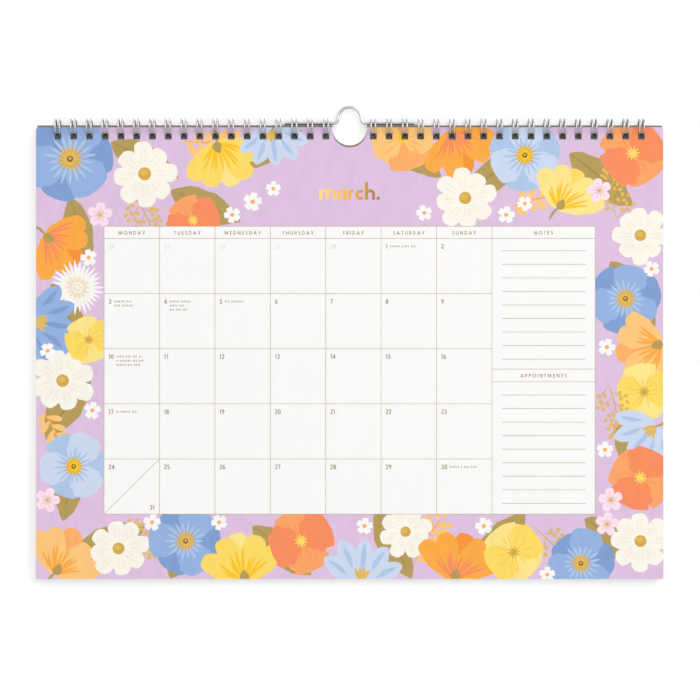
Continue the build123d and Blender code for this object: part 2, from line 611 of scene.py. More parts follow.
def rounded_box(at: Point, width: float, height: float, radius: float, steps: int = 3) -> Outline:
    """A rectangle with rounded corners.

    Args:
        at: Its centre.
        width: Its size along X.
        height: Its size along Z.
        radius: Its corners' radius.
        steps: How many straight pieces make each corner.

    Returns:
        The outline.
    """
    points = []
    for quarter, (sx, sy) in enumerate(((1, 1), (-1, 1), (-1, -1), (1, -1))):
        cx = at[0] + sx * (width / 2 - radius)
        cy = at[1] + sy * (height / 2 - radius)
        for i in range(steps + 1):
            a = pi / 2 * (quarter + i / steps)
            points.append((cx + radius * cos(a), cy + radius * sin(a)))
    return points


def ribbon(line: Outline, widths: list[float]) -> Outline:
    """A band along a line, as wide at each point as stated.

    Args:
        line: The middle of the band.
        widths: Its whole width at each point of the line.

    Returns:
        The outline.
    """
    left, right = [], []
    for i, (x, y) in enumerate(line):
        x0, y0 = line[max(i - 1, 0)]
        x1, y1 = line[min(i + 1, len(line) - 1)]
        length = hypot(x1 - x0, y1 - y0)
        nx, ny = -(y1 - y0) / length, (x1 - x0) / length
        half = widths[i] / 2
        left.append((x + nx * half, y + ny * half))
        right.append((x - nx * half, y - ny * half))
    return left + right[::-1]


def arc(centre: Point, radius: float, start: float, end: float, tall: float = 1.0) -> Outline:
    """Points along part of a circle or ellipse.

    Args:
        centre: Its centre.
        radius: Its radius along X.
        start: The first angle, in degrees.
        end: The last angle, in degrees.
        tall: Its height over its width.

    Returns:
        The points.
    """
    steps = max(ARC_LEAST, round(abs(end - start) / ARC_STEP))
    angles = [radians(start + (end - start) * i / steps) for i in range(steps + 1)]
    return [(centre[0] + radius * cos(a), centre[1] + radius * tall * sin(a)) for a in angles]


# ---------------------------------------------------------------------------
# Flowers and leaves of the border
# ---------------------------------------------------------------------------


@dataclass(frozen=True)
class Petal:
    """A petal's or leaf's proportions.

    Base says how slowly it widens, and tip how it closes: 0.5 is round and 1 is pointed.
    Ruffle is how uneven its edge is, as a share of its width. Vary is the share by which
    its length may differ from one petal to the next.
    """

    length: float
    width: float
    base: float = 0.8
    tip: float = 0.5
    ruffle: float = 0.02
    vary: float = 0.0


@dataclass(frozen=True)
class Ray:
    """A stroke outward along +X, whose end may vary by a share of its distance."""

    start: float
    end: float
    width: float
    vary: float = 0.0
    bend: float = 0.0


@dataclass
class Brush:
    """Draws petals, leaves and strokes with a slightly unsteady hand."""

    seed: int
    petal_steps: int = 13
    waves: tuple[float, float] = (2.2, 3.4)
    ruffle_reach: float = 4.0
    stroke_steps: int = 6
    stroke_ends: float = 0.12
    stroke_swell: float = 0.7
    hand: random.Random = field(init=False)

    def __post_init__(self) -> None:
        """Start the hand, so that every wobble is the same each time."""
        self.hand = random.Random(self.seed)

    def vary(self, value: float, share: float) -> float:
        """A value changed by up to this share of itself, or left alone if the share is 0."""
        return value * (1 + self.hand.uniform(-share, share)) if share else value

    def sway(self, degrees: float) -> float:
        """A turn of up to this many degrees, either way."""
        return self.hand.uniform(-degrees, degrees)

    def petal(self, form: Petal) -> Outline:
        """A petal or leaf lying along +X from the origin.

        Args:
            form: Its proportions.

        Returns:
            The outline.
        """
        length = self.vary(form.length, form.vary)
        widest = form.base / (form.base + form.tip)
        peak = widest**form.base * (1 - widest) ** form.tip
        phase = self.hand.uniform(0, 2 * pi)
        waves = self.hand.uniform(*self.waves)
        upper, lower = [], []
        for i in range(self.petal_steps + 1):
            t = (1 - cos(pi * i / self.petal_steps)) / 2
            half = form.width / 2 * (t**form.base * (1 - t) ** form.tip) / peak
            ripple = form.ruffle * form.width * sin(waves * 2 * pi * t + phase)
            ripple *= min(1, half / form.width * self.ruffle_reach)
            upper.append((t * length, half + ripple))
            if 0 < i < self.petal_steps:
                lower.append((t * length, -half + ripple))
        return upper + lower[::-1]

    def stroke(self, start: Point, end: Point, width: float, bend: float = 0.0) -> Outline:
        """A brush stroke, thin at both ends.

        Args:
            start: Where it starts.
            end: Where it ends.
            width: Its width in the middle.
            bend: How far its middle is pushed sideways, over its length.

        Returns:
            The outline.
        """
        dx, dy = end[0] - start[0], end[1] - start[1]
        line, widths = [], []
        for i in range(self.stroke_steps + 1):
            t = i / self.stroke_steps
            push = bend * sin(pi * t)
            line.append((start[0] + dx * t - dy * push, start[1] + dy * t + dx * push))
            swell = (1 - self.stroke_ends) * sin(pi * t) ** self.stroke_swell
            widths.append(width * (self.stroke_ends + swell))
        return ribbon(line, widths)

    def ray(self, form: Ray) -> Outline:
        """A stroke outward along +X."""
        return self.stroke((form.start, 0), (self.vary(form.end, form.vary), 0), form.width, form.bend)


@dataclass(frozen=True)
class Palette:
    """The inks of one flower: its petals, their shade, their markings and its heart."""

    petal: Ink
    shade: Ink
    mark: Ink
    heart: Ink = Ink.OCHRE


class Paint(Enum):
    """The flower colourings that the border uses."""

    CREAM = Palette(Ink.CREAM, Ink.CREAM, Ink.CREAM_SHADE)
    BLUE = Palette(Ink.BLUE, Ink.BLUE_DEEP, Ink.BLUE_MID, Ink.OCHRE_LIGHT)
    PALE_BLUE = Palette(Ink.BLUE_PALE, Ink.BLUE_MID, Ink.BLUE_MID, Ink.YELLOW_DEEP)
    YELLOW = Palette(Ink.YELLOW, Ink.YELLOW_PALE, Ink.YELLOW_DEEP)
    LEMON = Palette(Ink.YELLOW_PALE, Ink.YELLOW, Ink.YELLOW_DEEP)
    ORANGE = Palette(Ink.ORANGE, Ink.ORANGE_DARK, Ink.CORAL, Ink.YELLOW_DEEP)
    PEACH = Palette(Ink.PEACH, Ink.PEACH_DARK, Ink.ORANGE, Ink.YELLOW_DEEP)
    CORAL = Palette(Ink.CORAL, Ink.CORAL_LIGHT, Ink.ORANGE_DARK, Ink.YELLOW)
    WHITE = Palette(Ink.WHITE, Ink.WHITE, Ink.CREAM_SHADE, Ink.PEACH_DARK)
    PINK = Palette(Ink.PINK, Ink.PINK, Ink.PINK_SHADE, Ink.OCHRE)
    OLIVE = Palette(Ink.OLIVE, Ink.OLIVE, Ink.OLIVE_DARK)
    SAND = Palette(Ink.OCHRE_LIGHT, Ink.OCHRE_LIGHT, Ink.OCHRE)


@dataclass
class Motif:
    """One plant of the border, drawn round its own origin with a reach of about 1."""

    brush: Brush
    palette: Palette
    shapes: list[InkShape] = field(default_factory=list)

    def fill(self, ink: Ink, outline: Outline) -> None:
        """Lay one more area of ink on top."""
        self.shapes.append(InkShape(ink, outline))

    def burst(self, ink: Ink, ray: Ray, count: int) -> None:
        """Lay strokes evenly all round.

        Args:
            ink: Their ink.
            ray: One stroke.
            count: How many there are.
        """
        for i in range(count):
            self.fill(ink, turned(self.brush.ray(ray), 360 / count * i))

    def spot(self, ink: Ink, radius: float, steps: int = 12) -> None:
        """Lay a round spot in the middle."""
        self.fill(ink, disc((0, 0), radius, steps=steps))

    def draw(self) -> None:
        """Draw the plant. Each kind of plant has its own."""
        raise NotImplementedError

    def placed(self, at: Point, size: float, angle: float) -> list[InkShape]:
        """Draw the plant and put it on the sheet.

        Args:
            at: Where its origin goes.
            size: Its reach, in millimetres.
            angle: How it is turned, in degrees.

        Returns:
            Its areas of ink, the lowest first.
        """
        self.draw()
        return [InkShape(s.ink, turned(s.outline, angle, at, size)) for s in self.shapes]


@dataclass
class Daisy(Motif):
    """Long round petals about a button."""

    petals: int = 8
    petal: Petal = Petal(0.98, 0.58, 0.75, 0.36, 0.03, vary=0.08)
    sway: float = 5.0
    crease: Ray = Ray(0.3, 0.72, 0.022, vary=0.1)
    crease_side: float = 0.05
    crease_spread: float = 1.6
    button: float = 0.2
    button_steps: int = 20
    gleam: float = 0.12
    gleam_at: Point = (-0.03, 0.04)
    gleam_tall: float = 0.8
    gleam_steps: int = 14

    def draw(self) -> None:
        """Petals, their creases, then the button."""
        for i in range(self.petals):
            angle = 360 / self.petals * i + self.brush.sway(self.sway)
            self.fill(self.palette.petal, turned(self.brush.petal(self.petal), angle))
            for side in (-self.crease_side, self.crease_side):
                end = (self.brush.vary(self.crease.end, self.crease.vary), side * self.crease_spread)
                crease = self.brush.stroke((self.crease.start, side), end, self.crease.width)
                self.fill(self.palette.mark, turned(crease, angle))
        self.spot(self.palette.heart, self.button, self.button_steps)
        self.fill(Ink.OCHRE_LIGHT, disc(self.gleam_at, self.gleam, self.gleam_tall, self.gleam_steps))


@dataclass
class Windflower(Motif):
    """Six broad petals round a pale eye, with a ring of stamens."""

    petals_a_ring: int = 3
    petal: Petal = Petal(1.0, 0.98, 0.7, 0.36, 0.03, vary=0.05)
    sway: float = 6.0
    streak: Ray = Ray(0.16, 0.56, 0.07, vary=0.14)
    streaks: int = 18
    eye: float = 0.23
    eye_steps: int = 20
    filament: Ray = Ray(0.12, 0.33, 0.035, vary=0.1)
    filaments: int = 16
    heart: float = 0.075
    gleam: float = 0.035
    gleam_at: Point = (0, 0.01)
    gleam_steps: int = 10

    def draw(self) -> None:
        """Back petals, front petals, the eye, then the stamens."""
        step = 360 / self.petals_a_ring
        for ring, ink in enumerate((self.palette.shade, self.palette.petal)):
            for i in range(self.petals_a_ring):
                angle = step * i + step / 2 * ring + self.brush.sway(self.sway)
                self.fill(ink, turned(self.brush.petal(self.petal), angle))
        self.burst(self.palette.mark, self.streak, self.streaks)
        self.spot(self.palette.heart, self.eye, self.eye_steps)
        self.burst(Ink.OCHRE, self.filament, self.filaments)
        self.spot(Ink.BARK, self.heart)
        self.fill(Ink.OCHRE_LIGHT, disc(self.gleam_at, self.gleam, steps=self.gleam_steps))


@dataclass
class Tulip(Motif):
    """A cup of petals seen from the side, opening along +X."""

    petal: Petal = Petal(1.02, 0.5, 0.62, 0.34, 0.03, vary=0.06)
    back_width: float = 0.5
    front: tuple[Point, ...] = ((52, 0.46), (-52, 0.44), (25, 0.46), (-24, 0.48))
    sway: float = 4.0
    vein: Ray = Ray(0.06, 0.62, 0.055, vary=0.22, bend=0.03)
    veins: tuple[float, ...] = (-54, -44, -29, -20, -4, 9, 22, 30, 47, 56)
    cup: Petal = Petal(0.26, 0.2, 0.5, 0.9)
    stem: tuple[Point, Point] = ((-0.34, 0.05), (0.06, 0))
    stem_width: float = 0.06
    stem_bend: float = 0.1

    def draw(self) -> None:
        """The back petal, front petals, strokes from the base, then the green cup."""
        layers = [(self.palette.shade, 0, self.back_width)]
        layers += [(self.palette.petal, spread, width) for spread, width in self.front]
        for ink, spread, width in layers:
            petal = self.brush.petal(replace(self.petal, width=width))
            self.fill(ink, turned(petal, spread + self.brush.sway(self.sway)))
        for spread in self.veins:
            self.fill(self.palette.mark, turned(self.brush.ray(self.vein), spread))
        self.fill(Ink.OLIVE, self.brush.petal(self.cup))
        self.fill(Ink.OLIVE, self.brush.stroke(*self.stem, self.stem_width, self.stem_bend))


@dataclass
class Poppy(Motif):
    """Four ruffled petals, two over two, with a small bright eye."""

    petal: Petal = Petal(0.98, 1.3, 0.55, 0.34, 0.045, vary=0.05)
    sway: float = 8.0
    fold: Ray = Ray(0.2, 0.62, 0.03, vary=0.2, bend=0.05)
    folds: int = 12
    fold_sway: float = 7.0
    stamen: Ray = Ray(0, 0.22, 0.05)
    stamens: int = 10
    eye: float = 0.1

    def draw(self) -> None:
        """Back pair, front pair, folds, then the eye."""
        for first, ink in ((90, self.palette.shade), (0, self.palette.petal)):
            for flip in (0, 180):
                petal = self.brush.petal(self.petal)
                self.fill(ink, turned(petal, first + flip + self.brush.sway(self.sway)))
        for i in range(self.folds):
            fold = self.brush.ray(self.fold)
            angle = 360 / self.folds * i + self.brush.sway(self.fold_sway)
            self.fill(self.palette.mark, turned(fold, angle))
        self.burst(self.palette.heart, self.stamen, self.stamens)
        self.spot(self.palette.heart, self.eye)


@dataclass
class Bellflower(Motif):
    """Five pointed petals, hanging open, with a green tongue."""

    petal: Petal = Petal(1.0, 0.46, 0.6, 0.6, 0.02, vary=0.06)
    spreads: tuple[float, ...] = (62, -62, 32, -32, 0)
    middle: Ray = Ray(0.2, 0.86, 0.12)
    tongue: Ray = Ray(0, 0.34, 0.09)
    tongue_spreads: tuple[float, ...] = (-30, -10, 10, 30)
    stem: tuple[Point, Point] = ((-0.5, 0.1), (0.06, 0))
    stem_width: float = 0.07
    stem_bend: float = 0.12

    def draw(self) -> None:
        """Petals from the outside in, their middles, then the tongue."""
        for spread in self.spreads:
            self.fill(self.palette.petal, turned(self.brush.petal(self.petal), spread))
            self.fill(self.palette.shade, turned(self.brush.ray(self.middle), spread))
        for spread in self.tongue_spreads:
            self.fill(Ink.OCHRE_LIGHT, turned(self.brush.ray(self.tongue), spread))
        self.fill(Ink.OLIVE, self.brush.stroke(*self.stem, self.stem_width, self.stem_bend))


@dataclass
class Blossom(Motif):
    """Five small notched petals."""

    petals: int = 5
    petal: Petal = Petal(0.98, 0.48, 0.6, 0.4)
    sway: float = 6.0
    notch: float = 11.0
    eye: float = 0.24

    def draw(self) -> None:
        """Petals and a round eye."""
        for i in range(self.petals):
            angle = 360 / self.petals * i + self.brush.sway(self.sway)
            for side in (-self.notch, self.notch):
                self.fill(self.palette.petal, turned(self.brush.petal(self.petal), angle + side))
        self.spot(self.palette.heart, self.eye)


@dataclass
class StarBlossom(Motif):
    """Five round petals with long stamens."""

    petals: int = 5
    petal: Petal = Petal(1.0, 0.72, 0.7, 0.38)
    blush: Ray = Ray(0.2, 0.7, 0.12)
    stamens: int = 10
    short: Ray = Ray(0, 0.34, 0.06)
    long: Ray = Ray(0, 0.5, 0.06)

    def draw(self) -> None:
        """Petals, a blush in each, then the stamens."""
        for i in range(self.petals):
            angle = 360 / self.petals * i
            self.fill(self.palette.petal, turned(self.brush.petal(self.petal), angle))
            self.fill(self.palette.mark, turned(self.brush.ray(self.blush), angle))
        for i in range(self.stamens):
            stamen = self.brush.ray(self.long if i % 2 else self.short)
            self.fill(self.palette.heart, turned(stamen, 360 / self.stamens * i))


@dataclass
class LongLeaf(Motif):
    """A pointed leaf along +X."""

    blade: Petal = Petal(1.0, 0.4, 0.75, 0.85, 0.03)
    rib: Ray = Ray(0, 0.86, 0.022, bend=0.02)

    def draw(self) -> None:
        """The blade and its rib."""
        self.fill(self.palette.petal, self.brush.petal(self.blade))
        self.fill(self.palette.mark, self.brush.ray(self.rib))


@dataclass
class Sprig(Motif):
    """A thin stem with pairs of small leaves, along +X."""

    stem: Ray = Ray(0, 0.96, 0.03, bend=0.06)
    pairs: int = 5
    pitch: float = 0.16
    leaf: Petal = Petal(0.25, 0.1, vary=0.12)
    stagger: float = 0.04
    spread: float = 52.0
    spread_vary: float = 0.15
    end_leaf: Petal = Petal(0.24, 0.1)
    end_at: Point = (0.9, 0.01)

    def draw(self) -> None:
        """The stem, the leaves in pairs, then the end leaf."""
        self.fill(self.palette.mark, self.brush.ray(self.stem))
        for i in range(self.pairs):
            along = self.pitch + self.pitch * i
            for side in (-1, 1):
                leaf = self.brush.petal(self.leaf)
                at = (along + self.stagger * side, self.stem.bend * sin(pi * along))
                angle = side * self.brush.vary(self.spread, self.spread_vary)
                self.fill(self.palette.petal, turned(leaf, angle, at))
        self.fill(self.palette.petal, turned(self.brush.petal(self.end_leaf), 0, self.end_at))


@dataclass
class Spray(Motif):
    """A fine branching stem set with tiny buds, along +X."""

    stem: Ray = Ray(0, 1.0, 0.022, bend=0.05)
    sides: int = 9
    pitch: float = 0.1
    spread: float = 48.0
    spread_vary: float = 0.2
    side_reach: float = 0.34
    side_width: float = 0.018
    taper: float = 0.07
    buds: int = 4
    bud: Petal = Petal(0.085, 0.062, 0.7, 0.45)
    first_bud: float = 0.4
    bud_pitch: float = 0.2
    bud_offset: float = 0.025
    bud_turn: float = 30.0

    def draw(self) -> None:
        """The stem, then side stems with their buds."""
        self.fill(self.palette.mark, self.brush.ray(self.stem))
        for i in range(self.sides):
            root = (self.pitch + self.pitch * i, self.stem.bend * sin(pi * i / self.sides))
            angle = (1 if i % 2 else -1) * self.brush.vary(self.spread, self.spread_vary)
            reach = self.side_reach * (1 - self.taper * i)
            side = self.brush.ray(Ray(0, reach, self.side_width))
            self.fill(self.palette.mark, turned(side, angle, root))
            for j in range(self.buds):
                way = (-1) ** j
                place = (reach * (self.first_bud + self.bud_pitch * j), self.bud_offset * way)
                at = turned([place], angle, root)[0]
                bud = self.brush.petal(self.bud)
                self.fill(self.palette.petal, turned(bud, angle + self.bud_turn * way, at))


@dataclass
class Puff(Motif):
    """A round head of fine rays."""

    tiers: tuple[tuple[int, float, Ink], ...] = (
        (30, 1.0, Ink.WHITE),
        (24, 0.72, Ink.CREAM),
        (14, 0.46, Ink.CREAM_SHADE),
    )
    ray: Ray = Ray(0.1, 1.0, 0.12, vary=0.1)
    button: float = 0.22
    button_steps: int = 14
    dots: int = 7
    dot: float = 0.025
    dot_steps: int = 8
    dot_ring: float = 0.12
    dot_turn: float = 0.9

    def draw(self) -> None:
        """Long rays, short rays, then the button."""
        for count, reach, ink in self.tiers:
            self.burst(ink, replace(self.ray, end=reach), count)
        self.spot(Ink.CREAM, self.button, self.button_steps)
        for i in range(self.dots):
            turn = self.dot_turn * i
            at = (self.dot_ring * cos(turn), self.dot_ring * sin(turn))
            self.fill(Ink.OCHRE_LIGHT, disc(at, self.dot, steps=self.dot_steps))


@dataclass(frozen=True)
class Planted:
    """Where one plant of the border grows."""

    kind: type[Motif]
    paint: Paint
    x: float
    z: float
    size: float
    angle: float = 0.0


@dataclass
class FloralBorder:
    """The painted flowers round the day grid, the lowest first."""

    seed: int = 11

    def top_left(self) -> list[Planted]:
        """The plants above the first three weekdays."""
        return [
            Planted(LongLeaf, Paint.OLIVE, -128, -8, 41, -28),
            Planted(LongLeaf, Paint.OLIVE, -150, -38, 37, -75),
            Planted(LongLeaf, Paint.OLIVE, -96, -34, 41, -24),
            Planted(LongLeaf, Paint.OLIVE, -60, -20, 39, 28),
            Planted(Sprig, Paint.PEACH, -92, -8, 38, -8),
            Planted(Spray, Paint.SAND, -118, -34, 30, -62),
            Planted(Windflower, Paint.BLUE, -150, -17, 23, 10),
            Planted(Daisy, Paint.CREAM, -110, -25, 17.5, 4),
            Planted(Tulip, Paint.YELLOW, -72, -8, 25, -70),
            Planted(Bellflower, Paint.PALE_BLUE, -42, -1, 21, -82),
            Planted(Poppy, Paint.CORAL, -84, -50, 14, 30),
            Planted(Blossom, Paint.WHITE, -52, -40, 5.2, 8),
            Planted(Blossom, Paint.WHITE, -63, -47, 4.6, 40),
            Planted(Blossom, Paint.WHITE, -41, -33, 4.2, 20),
            Planted(StarBlossom, Paint.PINK, -134, -47, 6.8, 12),
        ]

    def top_right(self) -> list[Planted]:
        """The plants above the last three weekdays and the notes."""
        return [
            Planted(LongLeaf, Paint.OLIVE, 20, -4, 37, -38),
            Planted(LongLeaf, Paint.OLIVE, 62, -36, 41, 34),
            Planted(LongLeaf, Paint.OLIVE, 118, -14, 44, -40),
            Planted(Sprig, Paint.PEACH, 84, -44, 36, 12),
            Planted(Spray, Paint.SAND, 144, -52, 30, 96),
            Planted(Poppy, Paint.PEACH, 28, -6, 17, 15),
            Planted(Tulip, Paint.ORANGE, 54, -2, 24, -64),
            Planted(Daisy, Paint.CREAM, 62, -38, 16.5, 8),
            Planted(Windflower, Paint.PALE_BLUE, 94, -15, 19, 24),
            Planted(Tulip, Paint.LEMON, 112, -44, 23, 60),
            Planted(Poppy, Paint.CORAL, 152, -14, 18, 40),
            Planted(Blossom, Paint.WHITE, 84, -47, 4.8, 8),
            Planted(Blossom, Paint.WHITE, 94, -41, 4.2, 50),
            Planted(StarBlossom, Paint.PINK, 134, -34, 6.6, 30),
            Planted(Blossom, Paint.WHITE, 40, -46, 4.4, 33),
        ]

    def left_side(self) -> list[Planted]:
        """The plants left of the grid."""
        return [
            Planted(LongLeaf, Paint.OLIVE, -160, -84, 41, -64),
            Planted(LongLeaf, Paint.OLIVE, -140, -128, 46, -120),
            Planted(LongLeaf, Paint.OLIVE, -146, -168, 44, -100),
            Planted(Tulip, Paint.ORANGE, -164, -58, 24, -32),
            Planted(Puff, Paint.WHITE, -146, -86, 14, 0),
            Planted(Bellflower, Paint.BLUE, -170, -104, 25, -10),
            Planted(Daisy, Paint.CREAM, -154, -136, 17, 14),
            Planted(Poppy, Paint.YELLOW, -140, -114, 13, 20),
            Planted(Sprig, Paint.PEACH, -166, -150, 32, -66),
            Planted(Windflower, Paint.PALE_BLUE, -148, -182, 18, 4),
            Planted(Blossom, Paint.WHITE, -138, -152, 4.8, 10),
            Planted(Blossom, Paint.WHITE, -162, -120, 4.4, 60),
            Planted(Blossom, Paint.WHITE, -140, -70, 4.6, 30),
            Planted(StarBlossom, Paint.PINK, -162, -200, 6.6, 0),
        ]

    def right_side(self) -> list[Planted]:
        """The plants right of the grid."""
        return [
            Planted(LongLeaf, Paint.OLIVE, 140, -72, 44, -58),
            Planted(LongLeaf, Paint.OLIVE, 166, -120, 44, -116),
            Planted(LongLeaf, Paint.OLIVE, 142, -160, 46, -50),
            Planted(Daisy, Paint.CREAM, 156, -58, 15.5, 0),
            Planted(Windflower, Paint.BLUE, 148, -92, 19, 18),
            Planted(Tulip, Paint.PEACH, 168, -116, 25, 196),
            Planted(Poppy, Paint.YELLOW, 158, -142, 15, 12),
            Planted(Spray, Paint.SAND, 138, -136, 30, -78),
            Planted(Bellflower, Paint.PALE_BLUE, 164, -160, 22, 228),
            Planted(Poppy, Paint.CORAL, 156, -188, 17, 66),
            Planted(Blossom, Paint.WHITE, 138, -118, 4.8, 0),
            Planted(Blossom, Paint.WHITE, 162, -76, 4.4, 44),
            Planted(Blossom, Paint.WHITE, 137, -173, 4.6, 15),
            Planted(StarBlossom, Paint.PINK, 140, -200, 6.6, 25),
        ]

    def foot(self) -> list[Planted]:
        """The plants under the grid."""
        return [
            Planted(LongLeaf, Paint.OLIVE, -150, -232, 44, 24),
            Planted(LongLeaf, Paint.OLIVE, -96, -242, 41, 66),
            Planted(LongLeaf, Paint.OLIVE, -52, -214, 41, -40),
            Planted(LongLeaf, Paint.OLIVE, 14, -206, 41, -62),
            Planted(LongLeaf, Paint.OLIVE, 66, -240, 44, 50),
            Planted(LongLeaf, Paint.OLIVE, 126, -210, 41, -36),
            Planted(Spray, Paint.SAND, -128, -210, 30, -36),
            Planted(Sprig, Paint.PEACH, 34, -236, 34, 58),
            Planted(Spray, Paint.SAND, 98, -214, 32, -48),
            Planted(Tulip, Paint.PEACH, -158, -240, 25, 62),
            Planted(Daisy, Paint.CREAM, -124, -226, 16, 10),
            Planted(Windflower, Paint.BLUE, -88, -222, 19, 0),
            Planted(Tulip, Paint.YELLOW, -56, -244, 26, 98),
            Planted(Poppy, Paint.CORAL, -26, -222, 17, 25),
            Planted(Bellflower, Paint.PALE_BLUE, 6, -244, 24, 84),
            Planted(Daisy, Paint.CREAM, 30, -217, 14, 20),
            Planted(Tulip, Paint.ORANGE, 56, -243, 25, 74),
            Planted(Poppy, Paint.YELLOW, 88, -228, 16, 44),
            Planted(Windflower, Paint.BLUE, 124, -234, 18, 12),
            Planted(Daisy, Paint.CREAM, 156, -222, 16, 0),
            Planted(Blossom, Paint.WHITE, -106, -212, 4.8, 12),
            Planted(Blossom, Paint.WHITE, -70, -212, 4.4, 40),
            Planted(Blossom, Paint.WHITE, 8, -214, 4.6, 5),
            Planted(Blossom, Paint.WHITE, 72, -214, 4.8, 33),
            Planted(Blossom, Paint.WHITE, 106, -240, 4.4, 18),
            Planted(StarBlossom, Paint.PINK, 138, -213, 6.4, 10),
        ]

    def shapes(self) -> list[InkShape]:
        """Paint every plant.

        Returns:
            All areas of ink, the lowest first.
        """
        brush = Brush(self.seed)
        beds = (self.top_left, self.top_right, self.left_side, self.right_side, self.foot)
        drawn = []
        for bed in beds:
            for plant in bed():
                motif = plant.kind(brush, plant.paint.value)
                drawn += motif.placed((plant.x, plant.z), plant.size, plant.angle)
        return drawn


# ---------------------------------------------------------------------------
# Lettering
# ---------------------------------------------------------------------------


@dataclass(frozen=True)
class Line:
    """A straight stroke of a letter."""

    x0: float
    y0: float
    x1: float
    y1: float

    def paths(self) -> list[Outline]:
        """Its two ends."""
        return [[(self.x0, self.y0), (self.x1, self.y1)]]


@dataclass(frozen=True)
class Bow:
    """A curved stroke of a letter, anticlockwise from its start angle to its end."""

    x: float
    y: float
    radius: float
    start: float = 0.0
    end: float = 360.0
    tall: float = 1.0
    lap: float = 4.0

    def paths(self) -> list[Outline]:
        """Points along it, in two halves so that a full round closes cleanly.

        Returns:
            The two halves, which lap over each other in the middle.
        """
        middle = (self.start + self.end) / 2
        spans = ((self.start, middle + self.lap), (middle - self.lap, self.end))
        return [arc((self.x, self.y), self.radius, a, b, self.tall) for a, b in spans]


@dataclass(frozen=True)
class Glyph:
    """A letter's strokes, in units of the capital's height, and its width."""

    width: float
    strokes: tuple[Line | Bow, ...]


